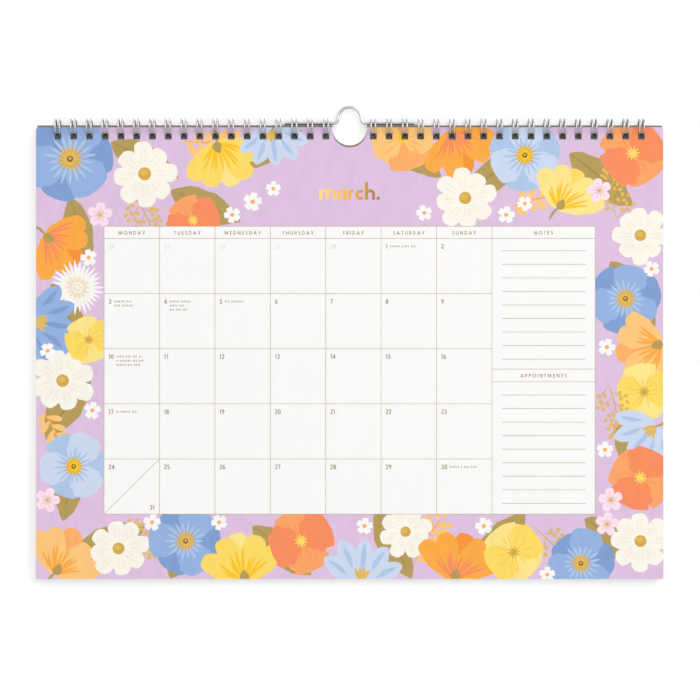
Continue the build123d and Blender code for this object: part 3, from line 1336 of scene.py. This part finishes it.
STEM = Line(0.07, 0, 0.07, 1)
GLYPHS: dict[str, Glyph] = {
    "A": Glyph(0.84, (Line(0.04, 0, 0.42, 0.98), Line(0.8, 0, 0.42, 0.98), Line(0.18, 0.3, 0.66, 0.3))),
    "D": Glyph(
        0.74,
        (
            STEM,
            Line(0.07, 0.93, 0.24, 0.93),
            Line(0.07, 0.07, 0.24, 0.07),
            Bow(0.24, 0.5, 0.43, -90, 90),
        ),
    ),
    "E": Glyph(
        0.5,
        (
            STEM,
            Line(0.07, 0.93, 0.5, 0.93),
            Line(0.07, 0.5, 0.46, 0.5),
            Line(0.07, 0.07, 0.5, 0.07),
        ),
    ),
    "F": Glyph(0.48, (STEM, Line(0.07, 0.93, 0.48, 0.93), Line(0.07, 0.5, 0.44, 0.5))),
    "H": Glyph(0.72, (STEM, Line(0.65, 0, 0.65, 1), Line(0.07, 0.5, 0.65, 0.5))),
    "I": Glyph(0.14, (STEM,)),
    "M": Glyph(
        0.98,
        (
            Line(0.06, 0, 0.17, 1),
            Line(0.17, 0.98, 0.49, 0.1),
            Line(0.81, 0.98, 0.49, 0.1),
            Line(0.92, 0, 0.81, 1),
        ),
    ),
    "N": Glyph(0.74, (STEM, Line(0.08, 0.97, 0.66, 0.03), Line(0.67, 0, 0.67, 1))),
    "O": Glyph(0.98, (Bow(0.49, 0.5, 0.44),)),
    "P": Glyph(
        0.52,
        (
            STEM,
            Line(0.07, 0.93, 0.25, 0.93),
            Line(0.07, 0.46, 0.25, 0.46),
            Bow(0.25, 0.695, 0.235, -90, 90),
        ),
    ),
    "R": Glyph(
        0.56,
        (
            STEM,
            Line(0.07, 0.93, 0.25, 0.93),
            Line(0.07, 0.46, 0.25, 0.46),
            Bow(0.25, 0.695, 0.235, -90, 90),
            Line(0.27, 0.46, 0.52, 0),
        ),
    ),
    "S": Glyph(0.5, (Bow(0.25, 0.73, 0.19, 40, 270, 1.1), Bow(0.25, 0.28, 0.21, -140, 90, 1.1))),
    "T": Glyph(0.56, (Line(0.28, 0, 0.28, 1), Line(0, 0.93, 0.56, 0.93))),
    "U": Glyph(
        0.68,
        (
            Line(0.07, 0.32, 0.07, 1),
            Bow(0.34, 0.33, 0.27, 180, 360),
            Line(0.61, 0.32, 0.61, 1),
        ),
    ),
    "W": Glyph(
        1.06,
        (
            Line(0.03, 1, 0.28, 0.02),
            Line(0.28, 0.02, 0.53, 0.96),
            Line(0.53, 0.96, 0.78, 0.02),
            Line(0.78, 0.02, 1.03, 1),
        ),
    ),
    "Y": Glyph(0.68, (Line(0.03, 1, 0.34, 0.46), Line(0.65, 1, 0.34, 0.46), Line(0.34, 0.48, 0.34, 0))),
    "0": Glyph(0.6, (Bow(0.3, 0.5, 0.23, 0, 360, 1.9),)),
    "1": Glyph(0.36, (Line(0.22, 0, 0.22, 1), Line(0.24, 0.95, 0.06, 0.82))),
    "2": Glyph(
        0.54,
        (
            Bow(0.26, 0.72, 0.21, -25, 165),
            Line(0.45, 0.64, 0.07, 0.06),
            Line(0.05, 0.07, 0.5, 0.07),
        ),
    ),
    "3": Glyph(0.54, (Bow(0.25, 0.73, 0.19, -90, 145), Bow(0.25, 0.29, 0.22, -145, 90))),
    "4": Glyph(
        0.6,
        (
            Line(0.43, 0, 0.43, 1),
            Line(0.43, 0.96, 0.06, 0.28),
            Line(0.04, 0.27, 0.58, 0.27),
        ),
    ),
    "5": Glyph(
        0.54,
        (
            Line(0.14, 0.93, 0.46, 0.93),
            Line(0.17, 0.95, 0.12, 0.52),
            Bow(0.24, 0.32, 0.25, -140, 118),
        ),
    ),
    "6": Glyph(0.58, (Bow(0.29, 0.29, 0.22), Line(0.1, 0.4, 0.38, 1))),
    "7": Glyph(0.52, (Line(0.03, 0.93, 0.5, 0.93), Line(0.47, 0.93, 0.17, 0))),
    "8": Glyph(0.56, (Bow(0.28, 0.75, 0.17), Bow(0.28, 0.29, 0.22))),
    "9": Glyph(0.58, (Bow(0.29, 0.71, 0.22), Line(0.48, 0.6, 0.2, 0))),
    "m": Glyph(
        0.89,
        (
            Line(0.08, 0, 0.08, 0.57),
            Bow(0.262, 0.34, 0.182, 0, 180),
            Line(0.445, 0, 0.445, 0.35),
            Bow(0.628, 0.34, 0.182, 0, 180),
            Line(0.81, 0, 0.81, 0.35),
        ),
    ),
    "a": Glyph(0.56, (Bow(0.27, 0.28, 0.205), Line(0.48, 0, 0.48, 0.56))),
    "r": Glyph(0.33, (Line(0.08, 0, 0.08, 0.57), Bow(0.26, 0.31, 0.18, 75, 180))),
    "c": Glyph(0.46, (Bow(0.28, 0.28, 0.205, 48, 312),)),
    "h": Glyph(
        0.57,
        (
            Line(0.08, 0, 0.08, 1),
            Bow(0.283, 0.31, 0.202, 0, 180),
            Line(0.485, 0, 0.485, 0.32),
        ),
    ),
    "i": Glyph(0.16, (Line(0.08, 0, 0.08, 0.57), Line(0.08, 0.72, 0.08, 0.88))),
    "l": Glyph(0.16, (Line(0.08, 0, 0.08, 1),)),
    "p": Glyph(0.56, (Bow(0.29, 0.28, 0.205), Line(0.08, -0.38, 0.08, 0.56))),
    ".": Glyph(0.18, (Line(0.09, 0, 0.09, 0.17),)),
}


@dataclass
class Lettering:
    """One line of plain upright lettering in one ink."""

    text: str
    height: float
    weight: float
    spacing: float
    ink: Ink

    def width(self) -> float:
        """The whole line's width in millimetres."""
        letters = sum(GLYPHS[c].width for c in self.text) * self.height
        return letters + self.spacing * (len(self.text) - 1)

    def shapes(self, left: float, base: float) -> list[InkShape]:
        """Set the line.

        Args:
            left: Where its first letter starts.
            base: Its baseline.

        Returns:
            A band of ink for each stroke.
        """
        drawn = []
        for letter in self.text:
            glyph = GLYPHS[letter]
            for path in (path for stroke in glyph.strokes for path in stroke.paths()):
                placed = [(left + x * self.height, base + y * self.height) for x, y in path]
                drawn.append(InkShape(self.ink, ribbon(placed, [self.weight] * len(placed))))
            left += glyph.width * self.height + self.spacing
        return drawn

    def centred(self, middle: float, base: float) -> list[InkShape]:
        """Set the line about a middle, on a baseline."""
        return self.shapes(middle - self.width() / 2, base)


# ---------------------------------------------------------------------------
# The printed page
# ---------------------------------------------------------------------------


@dataclass
class DayGrid:
    """The white panel with its weekdays, day numbers and note lines."""

    half_width: float = 131.75
    top: float = -53.2
    bottom: float = -207.6
    head_height: float = 6.5
    days: int = 7
    weeks: int = 5
    column: float = 29.73
    rule: float = 0.28
    heading_height: float = 1.95
    heading_drop: float = 0.25
    heading_weight: float = 0.34
    heading_spacing: float = 0.9
    number_height: float = 2.45
    number_inset: Point = (2.5, 3.0)
    number_spacing: float = 0.3
    number_weight: float = 0.44
    ghost_weight: float = 0.3
    shared_inset: Point = (2.7, 2.4)
    tick_size: Point = (0.42, 1.0)
    tick_pitch: float = 0.86
    tick_rows: float = 2.2
    tick_drop: float = 1.7
    tick_clear: float = 1.6
    tick_short_by: float = 0.24
    tick_cycle: int = 3
    note_inset: Point = (5.3, 5.1)
    note_lines: int = 9
    note_pitch: float = 7.27
    notes_first: float = -66.3
    second_head: Point = (-129.8, -136.6)
    second_first: float = -143.7
    names: tuple[str, ...] = (
        "MONDAY",
        "TUESDAY",
        "WEDNESDAY",
        "THURSDAY",
        "FRIDAY",
        "SATURDAY",
        "SUNDAY",
    )
    drawn: list[InkShape] = field(default_factory=list)

    def fill(self, ink: Ink, left: float, low: float, right: float, high: float) -> None:
        """Lay a rectangle of ink."""
        self.drawn.append(InkShape(ink, box_outline(left, low, right, high)))

    def across(self, z: float, left: float, right: float) -> None:
        """A level rule."""
        self.fill(Ink.RULE, left, z - self.rule / 2, right, z + self.rule / 2)

    def upright(self, x: float, low: float, high: float) -> None:
        """An upright rule."""
        self.fill(Ink.RULE, x - self.rule / 2, low, x + self.rule / 2, high)

    def column_left(self, day: int) -> float:
        """The left side of a weekday's column; day 7 gives the notes column."""
        return -self.half_width + self.column * day

    def row_top(self, week: int) -> float:
        """The top of a week's row."""
        first = self.top - self.head_height
        return first - (first - self.bottom) / self.weeks * week

    def heading(self, text: str, left: float, right: float, high: float) -> None:
        """A column's heading, centred in its box.

        Args:
            text: The heading.
            left: The box's left side.
            right: The box's right side.
            high: The box's top.
        """
        line = Lettering(
            text, self.heading_height, self.heading_weight, self.heading_spacing, Ink.LETTER
        )
        base = high - self.head_height / 2 - self.heading_height / 2 - self.heading_drop
        self.drawn += line.centred((left + right) / 2, base)

    def figures(self, day: int, ink: Ink = Ink.LETTER) -> Lettering:
        """A day's number as lettering, lighter in weight if it is a neighbour month's."""
        weight = self.number_weight if ink is Ink.LETTER else self.ghost_weight
        return Lettering(str(day), self.number_height, weight, self.number_spacing, ink)

    def number(self, day: int, column: int, week: int, ink: Ink) -> None:
        """A day's number at the top left of its box.

        Args:
            day: The number.
            column: The weekday, from 0.
            week: The row, from 0.
            ink: Its ink.
        """
        left = self.column_left(column) + self.number_inset[0]
        base = self.row_top(week) - self.number_inset[1] - self.number_height
        self.drawn += self.figures(day, ink).shapes(left, base)

    def reminder(self, day: int, box: int, words: tuple[tuple[int, ...], ...]) -> None:
        """Fine print beside a day's number, as rows of plain ticks.

        Args:
            day: The day it stands beside.
            box: That day's box, counted along the rows from 0.
            words: For each row, how many ticks each of its words has.
        """
        width, height = self.tick_size
        left = self.column_left(box % self.days) + self.number_inset[0]
        left += self.figures(day).width() + self.tick_clear
        low = self.row_top(box // self.days) - self.number_inset[1] - self.tick_drop
        for row in words:
            x = left
            for count in row:
                for i in range(count):
                    high = low + height - (self.tick_short_by if i % self.tick_cycle == 1 else 0)
                    self.fill(Ink.LETTER, x, low, x + width, high)
                    x += self.tick_pitch
                x += self.tick_pitch
            low -= self.tick_rows

    def rules(self) -> None:
        """The panel and every line of the grid."""
        self.fill(Ink.PANEL, -self.half_width, self.bottom, self.half_width, self.top)
        for day in range(1, self.days + 1):
            self.upright(self.column_left(day), self.bottom, self.top)
        for side in (-1, 1):
            self.upright(side * self.half_width, self.bottom, self.top)
        for week in range(self.weeks):
            right = self.half_width if week == 0 else self.column_left(self.days)
            self.across(self.row_top(week), -self.half_width, right)
        self.across(self.top, -self.half_width, self.half_width)
        self.across(self.bottom, -self.half_width, self.half_width)

    def note_column(self) -> None:
        """The notes box, the appointments box and the lines to write on."""
        left = self.column_left(self.days)
        high, low = self.second_head
        self.heading("NOTES", left, self.half_width, self.top)
        self.across(high, left, self.half_width)
        self.across(low, left, self.half_width)
        self.heading("APPOINTMENTS", left, self.half_width, high)
        for first in (self.notes_first, self.second_first):
            for i in range(self.note_lines):
                z = first - self.note_pitch * i
                self.across(z, left + self.note_inset[0], self.half_width - self.note_inset[1])

    def days_of(self, month: "Month") -> None:
        """The numbers of a month, with its neighbours' days in a ghost tone.

        Args:
            month: The month.
        """
        for column in range(month.first_day):
            self.number(month.before - month.first_day + 1 + column, column, 0, Ink.GHOST)
        boxes = self.days * self.weeks
        for day in range(1, month.length + 1):
            box = month.first_day + day - 1
            if box < boxes:
                self.number(day, box % self.days, box // self.days, Ink.LETTER)
            else:
                self.shared_box(day, box - boxes)
        for box in range(month.first_day + month.length, boxes):
            day = box - month.first_day - month.length + 1
            self.number(day, box % self.days, box // self.days, Ink.GHOST)

    def shared_box(self, day: int, column: int) -> None:
        """A last day that shares the box of the week before, below a slanting rule.

        Args:
            day: The number.
            column: The weekday, from 0.
        """
        left, right = self.column_left(column), self.column_left(column + 1)
        high = self.row_top(self.weeks - 1)
        slant = ribbon([(left, self.bottom), (right, high)], [self.rule] * 2)
        self.drawn.append(InkShape(Ink.RULE, slant))
        line = self.figures(day)
        inset_x, inset_z = self.shared_inset
        self.drawn += line.shapes(right - inset_x - line.width(), self.bottom + inset_z)

    def shapes(self, month: "Month") -> list[InkShape]:
        """Print the whole panel.

        Args:
            month: The month it is for.

        Returns:
            All areas of ink, the lowest first.
        """
        self.rules()
        for day, name in enumerate(self.names):
            self.heading(name, self.column_left(day), self.column_left(day + 1), self.top)
        self.note_column()
        self.days_of(month)
        for day, words in month.reminders:
            self.reminder(day, month.first_day + day - 1, words)
        return self.drawn


@dataclass(frozen=True)
class Month:
    """A month's name, its days, and the days that carry fine print."""

    title: str
    first_day: int
    length: int
    before: int
    reminders: tuple[tuple[int, tuple[tuple[int, ...], ...]], ...] = ()


MARCH = Month(
    title="march.",
    first_day=5,
    length=31,
    before=28,
    reminders=(
        (1, ((6, 5, 3),)),
        (3, ((7, 3), (4, 7))),
        (4, ((6, 6), (5, 3), (3, 3, 3))),
        (5, ((3, 8),)),
        (10, ((5, 3, 3, 2), (1, 7, 3, 3), (6, 3, 4))),
        (17, ((2, 6, 3),)),
        (30, ((6, 1, 3, 4),)),
    ),
)
APRIL = Month(title="april.", first_day=1, length=30, before=31)


@dataclass
class SheetForm:
    """The punched sheet that every leaf, the cover and the board are cut to."""

    width: float
    height: float
    corner: float = 1.0
    pitch: float = 25.4 / 3
    holes_a_side: int = 18
    gap_pitches: int = 3
    hole: Point = (3.8, 3.5)
    hole_corner: float = 0.5
    hole_margin: float = 3.1
    notch_radius: float = 9.4
    notch_centre: float = -1.4
    notch_steps: int = 72

    def outline(self) -> Outline:
        """The sheet's outside, before punching."""
        return rounded_box((0, -self.height / 2), self.width, self.height, self.corner)

    def cut_outs(self) -> list[Outline]:
        """The thumb notch and the punched holes.

        Returns:
            One outline for each.
        """
        z = -self.hole_margin - self.hole[1] / 2
        first = self.gap_pitches * self.pitch / 2
        cuts = [disc((0, self.notch_centre), self.notch_radius, steps=self.notch_steps)]
        for i in range(self.holes_a_side):
            for side in (-1, 1):
                at = (side * (first + i * self.pitch), z)
                cuts.append(rounded_box(at, self.hole[0], self.hole[1], self.hole_corner))
        return cuts

    def rest_points(self, spacing: float) -> Outline:
        """Points spread over the sheet, so that it can bend.

        Args:
            spacing: How far apart they are.

        Returns:
            The points.
        """
        columns = int(self.width / spacing)
        rows = int(self.height / spacing)
        step_x, step_z = self.width / columns, self.height / rows
        return [
            (-self.width / 2 + step_x * (i + 0.5), -step_z * (j + 0.5))
            for i in range(columns)
            for j in range(rows)
        ]


@dataclass
class Curl:
    """How a hanging leaf's lower corners come forward."""

    corner: float = 0.0
    foot: float = 0.0
    flat_share: float = 0.3
    down_power: int = 2
    out_power: int = 3

    def lift(self, x: float, z: float, form: SheetForm) -> float:
        """How far the sheet stands forward at a point.

        Args:
            x: Across the sheet.
            z: Down the sheet.
            form: The sheet.

        Returns:
            Millimetres towards the viewer.
        """
        down = max(0.0, -z / form.height - self.flat_share) / (1 - self.flat_share)
        out = abs(x) / (form.width / 2)
        return down**self.down_power * (self.foot + self.corner * out**self.out_power)


@dataclass
class Leaf:
    """One sheet as a closed mesh, its front laid out in areas of ink."""

    form: SheetForm
    top: float
    front: float
    thickness: float
    shapes: list[InkShape] = field(default_factory=list)
    curl: Curl = field(default_factory=Curl)
    shift: Point = (0.0, 0.0)
    spacing: float = 14.0
    merge_distance: float = 1e-5

    def mosaic(self) -> tuple[list[Vector], list[tuple[int, ...]], list[int]]:
        """Cut the front into triangles that each lie under one topmost shape.

        Returns:
            The points, the triangles, and for each triangle the number of its top
            shape, or -1 for bare sheet.
        """
        cuts = self.form.cut_outs()
        outlines = [self.form.outline(), *cuts, *(s.outline for s in self.shapes)]
        points, rings = [], []
        for outline in outlines:
            rings.append(list(range(len(points), len(points) + len(outline))))
            points += [Vector(p) for p in anticlockwise(outline)]
        points += [Vector(p) for p in self.form.rest_points(self.spacing)]
        made = delaunay_2d_cdt(points, [], rings, FILL_INSIDE, self.merge_distance, True)
        first_shape = 1 + len(cuts)
        triangles, tops = [], []
        for triangle, sources in zip(made[2], made[5]):
            if 0 not in sources or any(0 < s < first_shape for s in sources):
                continue
            triangles.append(tuple(triangle))
            top = max(sources)
            tops.append(top - first_shape if top >= first_shape else -1)
        return made[0], triangles, tops

    def build(
        self, name: str, bare: bpy.types.Material, inks: dict[Ink, bpy.types.Material]
    ) -> bpy.types.Object:
        """Make the sheet.

        Args:
            name: The piece's name.
            bare: The paper's material, for the back, the edges and unprinted paper.
            inks: The material of each ink on it.

        Returns:
            The new object.
        """
        flat, triangles, tops = self.mosaic()
        used = sorted({i for t in triangles for i in t})
        number = {old: new for new, old in enumerate(used)}
        count = len(used)
        front, back = [], []
        for old in used:
            x, z = flat[old]
            y = self.front - self.curl.lift(x, z, self.form)
            place = ((x + self.shift[0]) * MM, (z + self.shift[1] + self.top) * MM)
            front.append((place[0], y * MM, place[1]))
            back.append((place[0], (y + self.thickness) * MM, place[1]))
        faces = [tuple(number[i] for i in t) for t in triangles]
        sides = {(a, b) for f in faces for a, b in zip(f, f[1:] + f[:1])}
        edge = sorted((a, b) for a, b in sides if (b, a) not in sides)
        backs = [tuple(i + count for i in reversed(f)) for f in faces]
        walls = [(b, a, a + count, b + count) for a, b in edge]
        mesh = bpy.data.meshes.new(name)
        mesh.from_pydata(front + back, [], faces + backs + walls)
        order = sorted({self.shapes[t].ink for t in tops if t >= 0}, key=lambda ink: ink.name)
        mesh.materials.append(bare)
        for ink in order:
            mesh.materials.append(inks[ink])
        slots = [0 if t < 0 else 1 + order.index(self.shapes[t].ink) for t in tops]
        slots += [0] * (len(backs) + len(walls))
        mesh.polygons.foreach_set("material_index", slots)
        mesh.update()
        piece = bpy.data.objects.new(name, mesh)
        bpy.context.collection.objects.link(piece)
        return piece


def join_pieces(name: str, pieces: list[bpy.types.Object]) -> bpy.types.Object:
    """Make one piece of several.

    Args:
        name: The new piece's name.
        pieces: The objects to join.

    Returns:
        The joined object.
    """
    with bpy.context.temp_override(active_object=pieces[0], selected_editable_objects=pieces):
        bpy.ops.object.join()
    pieces[0].name = name
    return pieces[0]


# ---------------------------------------------------------------------------
# Sub-assemblies
# ---------------------------------------------------------------------------


class Node(Enum):
    """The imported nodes, by name."""

    HANGER = "hanger_wire"
    LEFT_WIRE = "left_binding_wire"
    RIGHT_WIRE = "right_binding_wire"
    SHOWING = "march_leaf"
    LATER = "later_months_block"
    BOARD = "back_board"
    COVER = "front_cover"
    TURNED = "turned_months"


class Body(Enum):
    """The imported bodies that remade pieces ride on."""

    SHOWING = "showing_month"
    LATER = "month_block"
    TURNED = "turned_stack"


def node_box_mm(node: Node) -> tuple[Vector, Vector]:
    """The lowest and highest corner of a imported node, in millimetres."""
    low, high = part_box(node.value)
    return Vector(low) / MM, Vector(high) / MM


def form_of(node: Node) -> SheetForm:
    """The sheet form of a node, from its packed size."""
    low, high = node_box_mm(node)
    return SheetForm(width=high.x - low.x, height=high.z - low.z)


@dataclass
class Finishes:
    """The paper's and the inks' materials, made once."""

    foil_half_width: float = 16.5
    panel_mottle: float = 0.002
    paper: bpy.types.Material = field(init=False)
    inks: dict[Ink, bpy.types.Material] = field(init=False)

    def __post_init__(self) -> None:
        """Make the paper and the inks."""
        self.paper = LEAF_PAPER.material()
        self.inks = {ink: PrintedInk(ink).material() for ink in Ink if ink is not Ink.FOIL}
        self.inks[Ink.PANEL] = PrintedInk(Ink.PANEL, mottle=self.panel_mottle).material()
        self.inks[Ink.FOIL] = GoldFoil(self.foil_half_width).material()


@dataclass
class PagePrint:
    """What is printed on a leaf: its ground, the month's name and the day grid."""

    month: Month
    ground: Ink
    flowers: list[InkShape] = field(default_factory=list)
    title_height: float = 9.4
    title_weight: float = 1.6
    title_spacing: float = 0.85
    title_base: float = -38.9
    bleed: float = 4.0

    def shapes(self, form: SheetForm) -> list[InkShape]:
        """Lay out everything printed on the leaf.

        Args:
            form: The sheet it is printed on.

        Returns:
            All areas of ink, the lowest first.
        """
        half, low = form.width / 2 + self.bleed, -form.height - self.bleed
        ground = InkShape(self.ground, box_outline(-half, low, half, self.bleed))
        title = Lettering(
            self.month.title, self.title_height, self.title_weight, self.title_spacing, Ink.FOIL
        )
        printed = [ground, *self.flowers]
        printed += title.centred(0, self.title_base)
        printed += DayGrid().shapes(self.month)
        return printed


@dataclass
class MonthPage:
    """The leaf that shows, with its lower corners just coming forward."""

    curl: Curl = field(default_factory=lambda: Curl(corner=0.9, foot=0.35))

    def build(self, finishes: Finishes) -> bpy.types.Object:
        """Make the leaf and put it on its body.

        Args:
            finishes: The materials.

        Returns:
            The leaf.
        """
        low, high = node_box_mm(Node.SHOWING)
        form = form_of(Node.SHOWING)
        page = PagePrint(MARCH, Ink.LILAC, FloralBorder().shapes())
        leaf = Leaf(form, high.z, low.y, high.y - low.y, page.shapes(form), self.curl)
        piece = leaf.build("printed_march_leaf", finishes.paper, finishes.inks)
        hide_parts(Node.SHOWING.value)
        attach(piece, Body.SHOWING.value)
        return piece


@dataclass
class LooseStack:
    """Several plain leaves that lie together, each a hair out of line."""

    node: Node
    body: Body
    name: str
    leaves: int
    seed: int
    first_page: PagePrint | None = None
    air: float = 0.03
    trim: float = 0.12
    stray: float = 0.1
    spacing: float = 40.0

    def build(self, finishes: Finishes) -> bpy.types.Object:
        """Make the stack and put it on its body.

        Args:
            finishes: The materials.

        Returns:
            The stack, as one piece.
        """
        low, high = node_box_mm(self.node)
        hand = random.Random(self.seed)
        pitch = (high.y - low.y) / self.leaves
        pieces = []
        for i in range(self.leaves):
            form = SheetForm(width=high.x - low.x - self.trim * 2, height=high.z - low.z - self.trim)
            shift = (hand.uniform(-self.stray, self.stray), -hand.uniform(0, self.stray))
            front = low.y + pitch * i
            printed = self.first_page.shapes(form) if self.first_page and i == 0 else []
            leaf = Leaf(
                form, high.z, front, pitch - self.air, printed, shift=shift, spacing=self.spacing
            )
            pieces.append(leaf.build(f"{self.name}_{i}", finishes.paper, finishes.inks))
        piece = join_pieces(self.name, pieces)
        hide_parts(self.node.value)
        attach(piece, self.body.value)
        return piece


@dataclass
class PackedPiece:
    """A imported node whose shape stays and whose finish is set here."""

    node: Node
    finish: DrawnWire | PaperStock

    def dress(self) -> bpy.types.Object:
        """Give the node its finish.

        Returns:
            The node's object.
        """
        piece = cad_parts[self.node.value]
        piece.data.materials.clear()
        piece.data.materials.append(self.finish.material())
        return piece


# ---------------------------------------------------------------------------
# Studio
# ---------------------------------------------------------------------------


@dataclass(frozen=True)
class SoftLight:
    """A square soft box aimed at a point."""

    name: str
    place: Triple
    size: float
    power: float

    def hang(self, aim: Triple) -> None:
        """Put the light up.

        Args:
            aim: The point it is turned to.
        """
        lamp = bpy.data.lights.new(self.name, "AREA")
        lamp.shape = "SQUARE"
        lamp.size = self.size
        lamp.energy = self.power
        light = bpy.data.objects.new(self.name, lamp)
        light.location = self.place
        towards = Vector(aim) - Vector(self.place)
        light.rotation_euler = towards.to_track_quat("-Z", "Y").to_euler()
        bpy.context.collection.objects.link(light)


@dataclass
class Studio:
    """The pale floor, the white surroundings, the lights and the camera."""

    view_width: float = 0.3756
    lens: float = 150.0
    sensor: float = 36.0
    camera_x: float = 0.0002
    camera_z: float = -0.12985
    floor_z: float = -0.9
    room_size: float = 5.0
    wall_gap: float = 0.0005
    wall_white: WallWhite = WallWhite("white_wall", glow=0.16)
    floor_white: StageWhite = StageWhite("pale_floor", glow=0.22)
    sky: float = 0.575
    key: SoftLight = SoftLight("key", place=(0.7, -1.4, 0.55), size=1.3, power=10.2)
    fill: SoftLight = SoftLight("fill", place=(-0.8, -1.5, 0.0), size=1.3, power=3.7)
    back: SoftLight = SoftLight("back", place=(0.5, 1.5, 0.4), size=1.2, power=9.0)

    def world(self) -> None:
        """White to the camera and to reflections, softer as a light."""
        world = bpy.data.worlds.new("surroundings")
        bpy.context.scene.world = world
        world.use_nodes = True
        tree = world.node_tree
        background = tree.nodes["Background"]
        path = tree.nodes.new("ShaderNodeLightPath")
        seen = self.either(tree, path, ("Is Camera Ray", "Is Glossy Ray", "Is Transmission Ray"))
        spread = tree.nodes.new("ShaderNodeMapRange")
        spread.inputs["To Min"].default_value = self.sky
        spread.inputs["To Max"].default_value = 1.0
        tree.links.new(seen, spread.inputs["Value"])
        tree.links.new(spread.outputs["Result"], background.inputs["Strength"])
        background.inputs["Color"].default_value = PURE_WHITE

    def either(
        self, tree: bpy.types.NodeTree, path: bpy.types.Node, names: tuple[str, ...]
    ) -> bpy.types.NodeSocket:
        """1 where a ray is any of the named kinds.

        Args:
            tree: Where the nodes go.
            path: The Light Path node.
            names: Its outputs to look at.

        Returns:
            The socket.
        """
        found = path.outputs[names[0]]
        for name in names[1:]:
            both = tree.nodes.new("ShaderNodeMath")
            both.operation = "MAXIMUM"
            tree.links.new(found, both.inputs[0])
            tree.links.new(path.outputs[name], both.inputs[1])
            found = both.outputs["Value"]
        return found

    def plane(self, name: str, corners: list[Triple]) -> bpy.types.Object:
        """One face of the studio.

        Args:
            name: Its name.
            corners: Its corners, anticlockwise as seen from its front.

        Returns:
            The new object.
        """
        mesh = bpy.data.meshes.new(name)
        mesh.from_pydata(corners, [], [tuple(range(len(corners)))])
        piece = bpy.data.objects.new(name, mesh)
        bpy.context.collection.objects.link(piece)
        return piece

    def floor(self) -> None:
        """A wide pale floor well under the calendar."""
        half = self.room_size / 2
        z = self.floor_z
        corners = [(-half, -half, z), (half, -half, z), (half, half, z), (-half, half, z)]
        floor = self.plane("floor", corners)
        floor.data.materials.append(self.floor_white.material())

    def wall(self) -> None:
        """The white wall behind the calendar, which lets the light from behind through."""
        half = self.room_size / 2
        y = CAD_BOX[1][1] + self.wall_gap
        low, high = self.floor_z, self.floor_z + self.room_size
        corners = [(-half, y, low), (half, y, low), (half, y, high), (-half, y, high)]
        wall = self.plane("wall", corners)
        wall.visible_diffuse = False
        wall.visible_glossy = False
        wall.visible_shadow = False
        wall.data.materials.append(self.wall_white.material())

    def camera(self) -> None:
        """A long lens square on to the page."""
        data = bpy.data.cameras.new("camera")
        data.lens = self.lens
        data.sensor_width = self.sensor
        camera = bpy.data.objects.new("camera", data)
        page_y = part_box(Node.SHOWING.value)[0][1]
        distance = self.view_width * self.lens / self.sensor
        camera.location = (self.camera_x, page_y - distance, self.camera_z)
        camera.rotation_euler = (radians(90), 0, 0)
        bpy.context.collection.objects.link(camera)
        bpy.context.scene.camera = camera

    def lights(self) -> None:
        """A large key from the upper right, a weak fill, and one behind for a view of the back."""
        middle = (0.0, 0.0, self.camera_z)
        for light in (self.key, self.fill, self.back):
            light.hang(middle)

    def build(self) -> None:
        """Set the studio up."""
        bpy.context.scene.view_settings.view_transform = "Standard"
        self.world()
        self.floor()
        self.wall()
        self.camera()
        self.lights()


def report(piece: bpy.types.Object) -> None:
    """Log a finished piece's name and how many faces it has."""
    LOG.info("%s: %d faces", piece.name, len(piece.data.polygons))


def main() -> None:
    """Build the calendar, then the studio round it."""
    logging.basicConfig(level=logging.INFO, format="%(name)s: %(message)s")
    finishes = Finishes()
    Studio().build()
    for packed in (
        PackedPiece(Node.HANGER, HANGER_WIRE),
        PackedPiece(Node.LEFT_WIRE, BINDING_WIRE),
        PackedPiece(Node.RIGHT_WIRE, BINDING_WIRE),
        PackedPiece(Node.BOARD, GREY_BOARD),
        PackedPiece(Node.COVER, COVER_CARD_PAINTED_SHADE),
    ):
        report(packed.dress())
    report(MonthPage().build(finishes))
    april = PagePrint(APRIL, Ink.BLUE_PALE)
    for stack in (
        LooseStack(Node.LATER, Body.LATER, "later_month_leaves", leaves=9, seed=5, first_page=april),
        LooseStack(Node.TURNED, Body.TURNED, "turned_month_leaves", leaves=2, seed=7),
    ):
        report(stack.build(finishes))


if __name__ == "__main__":
    main()
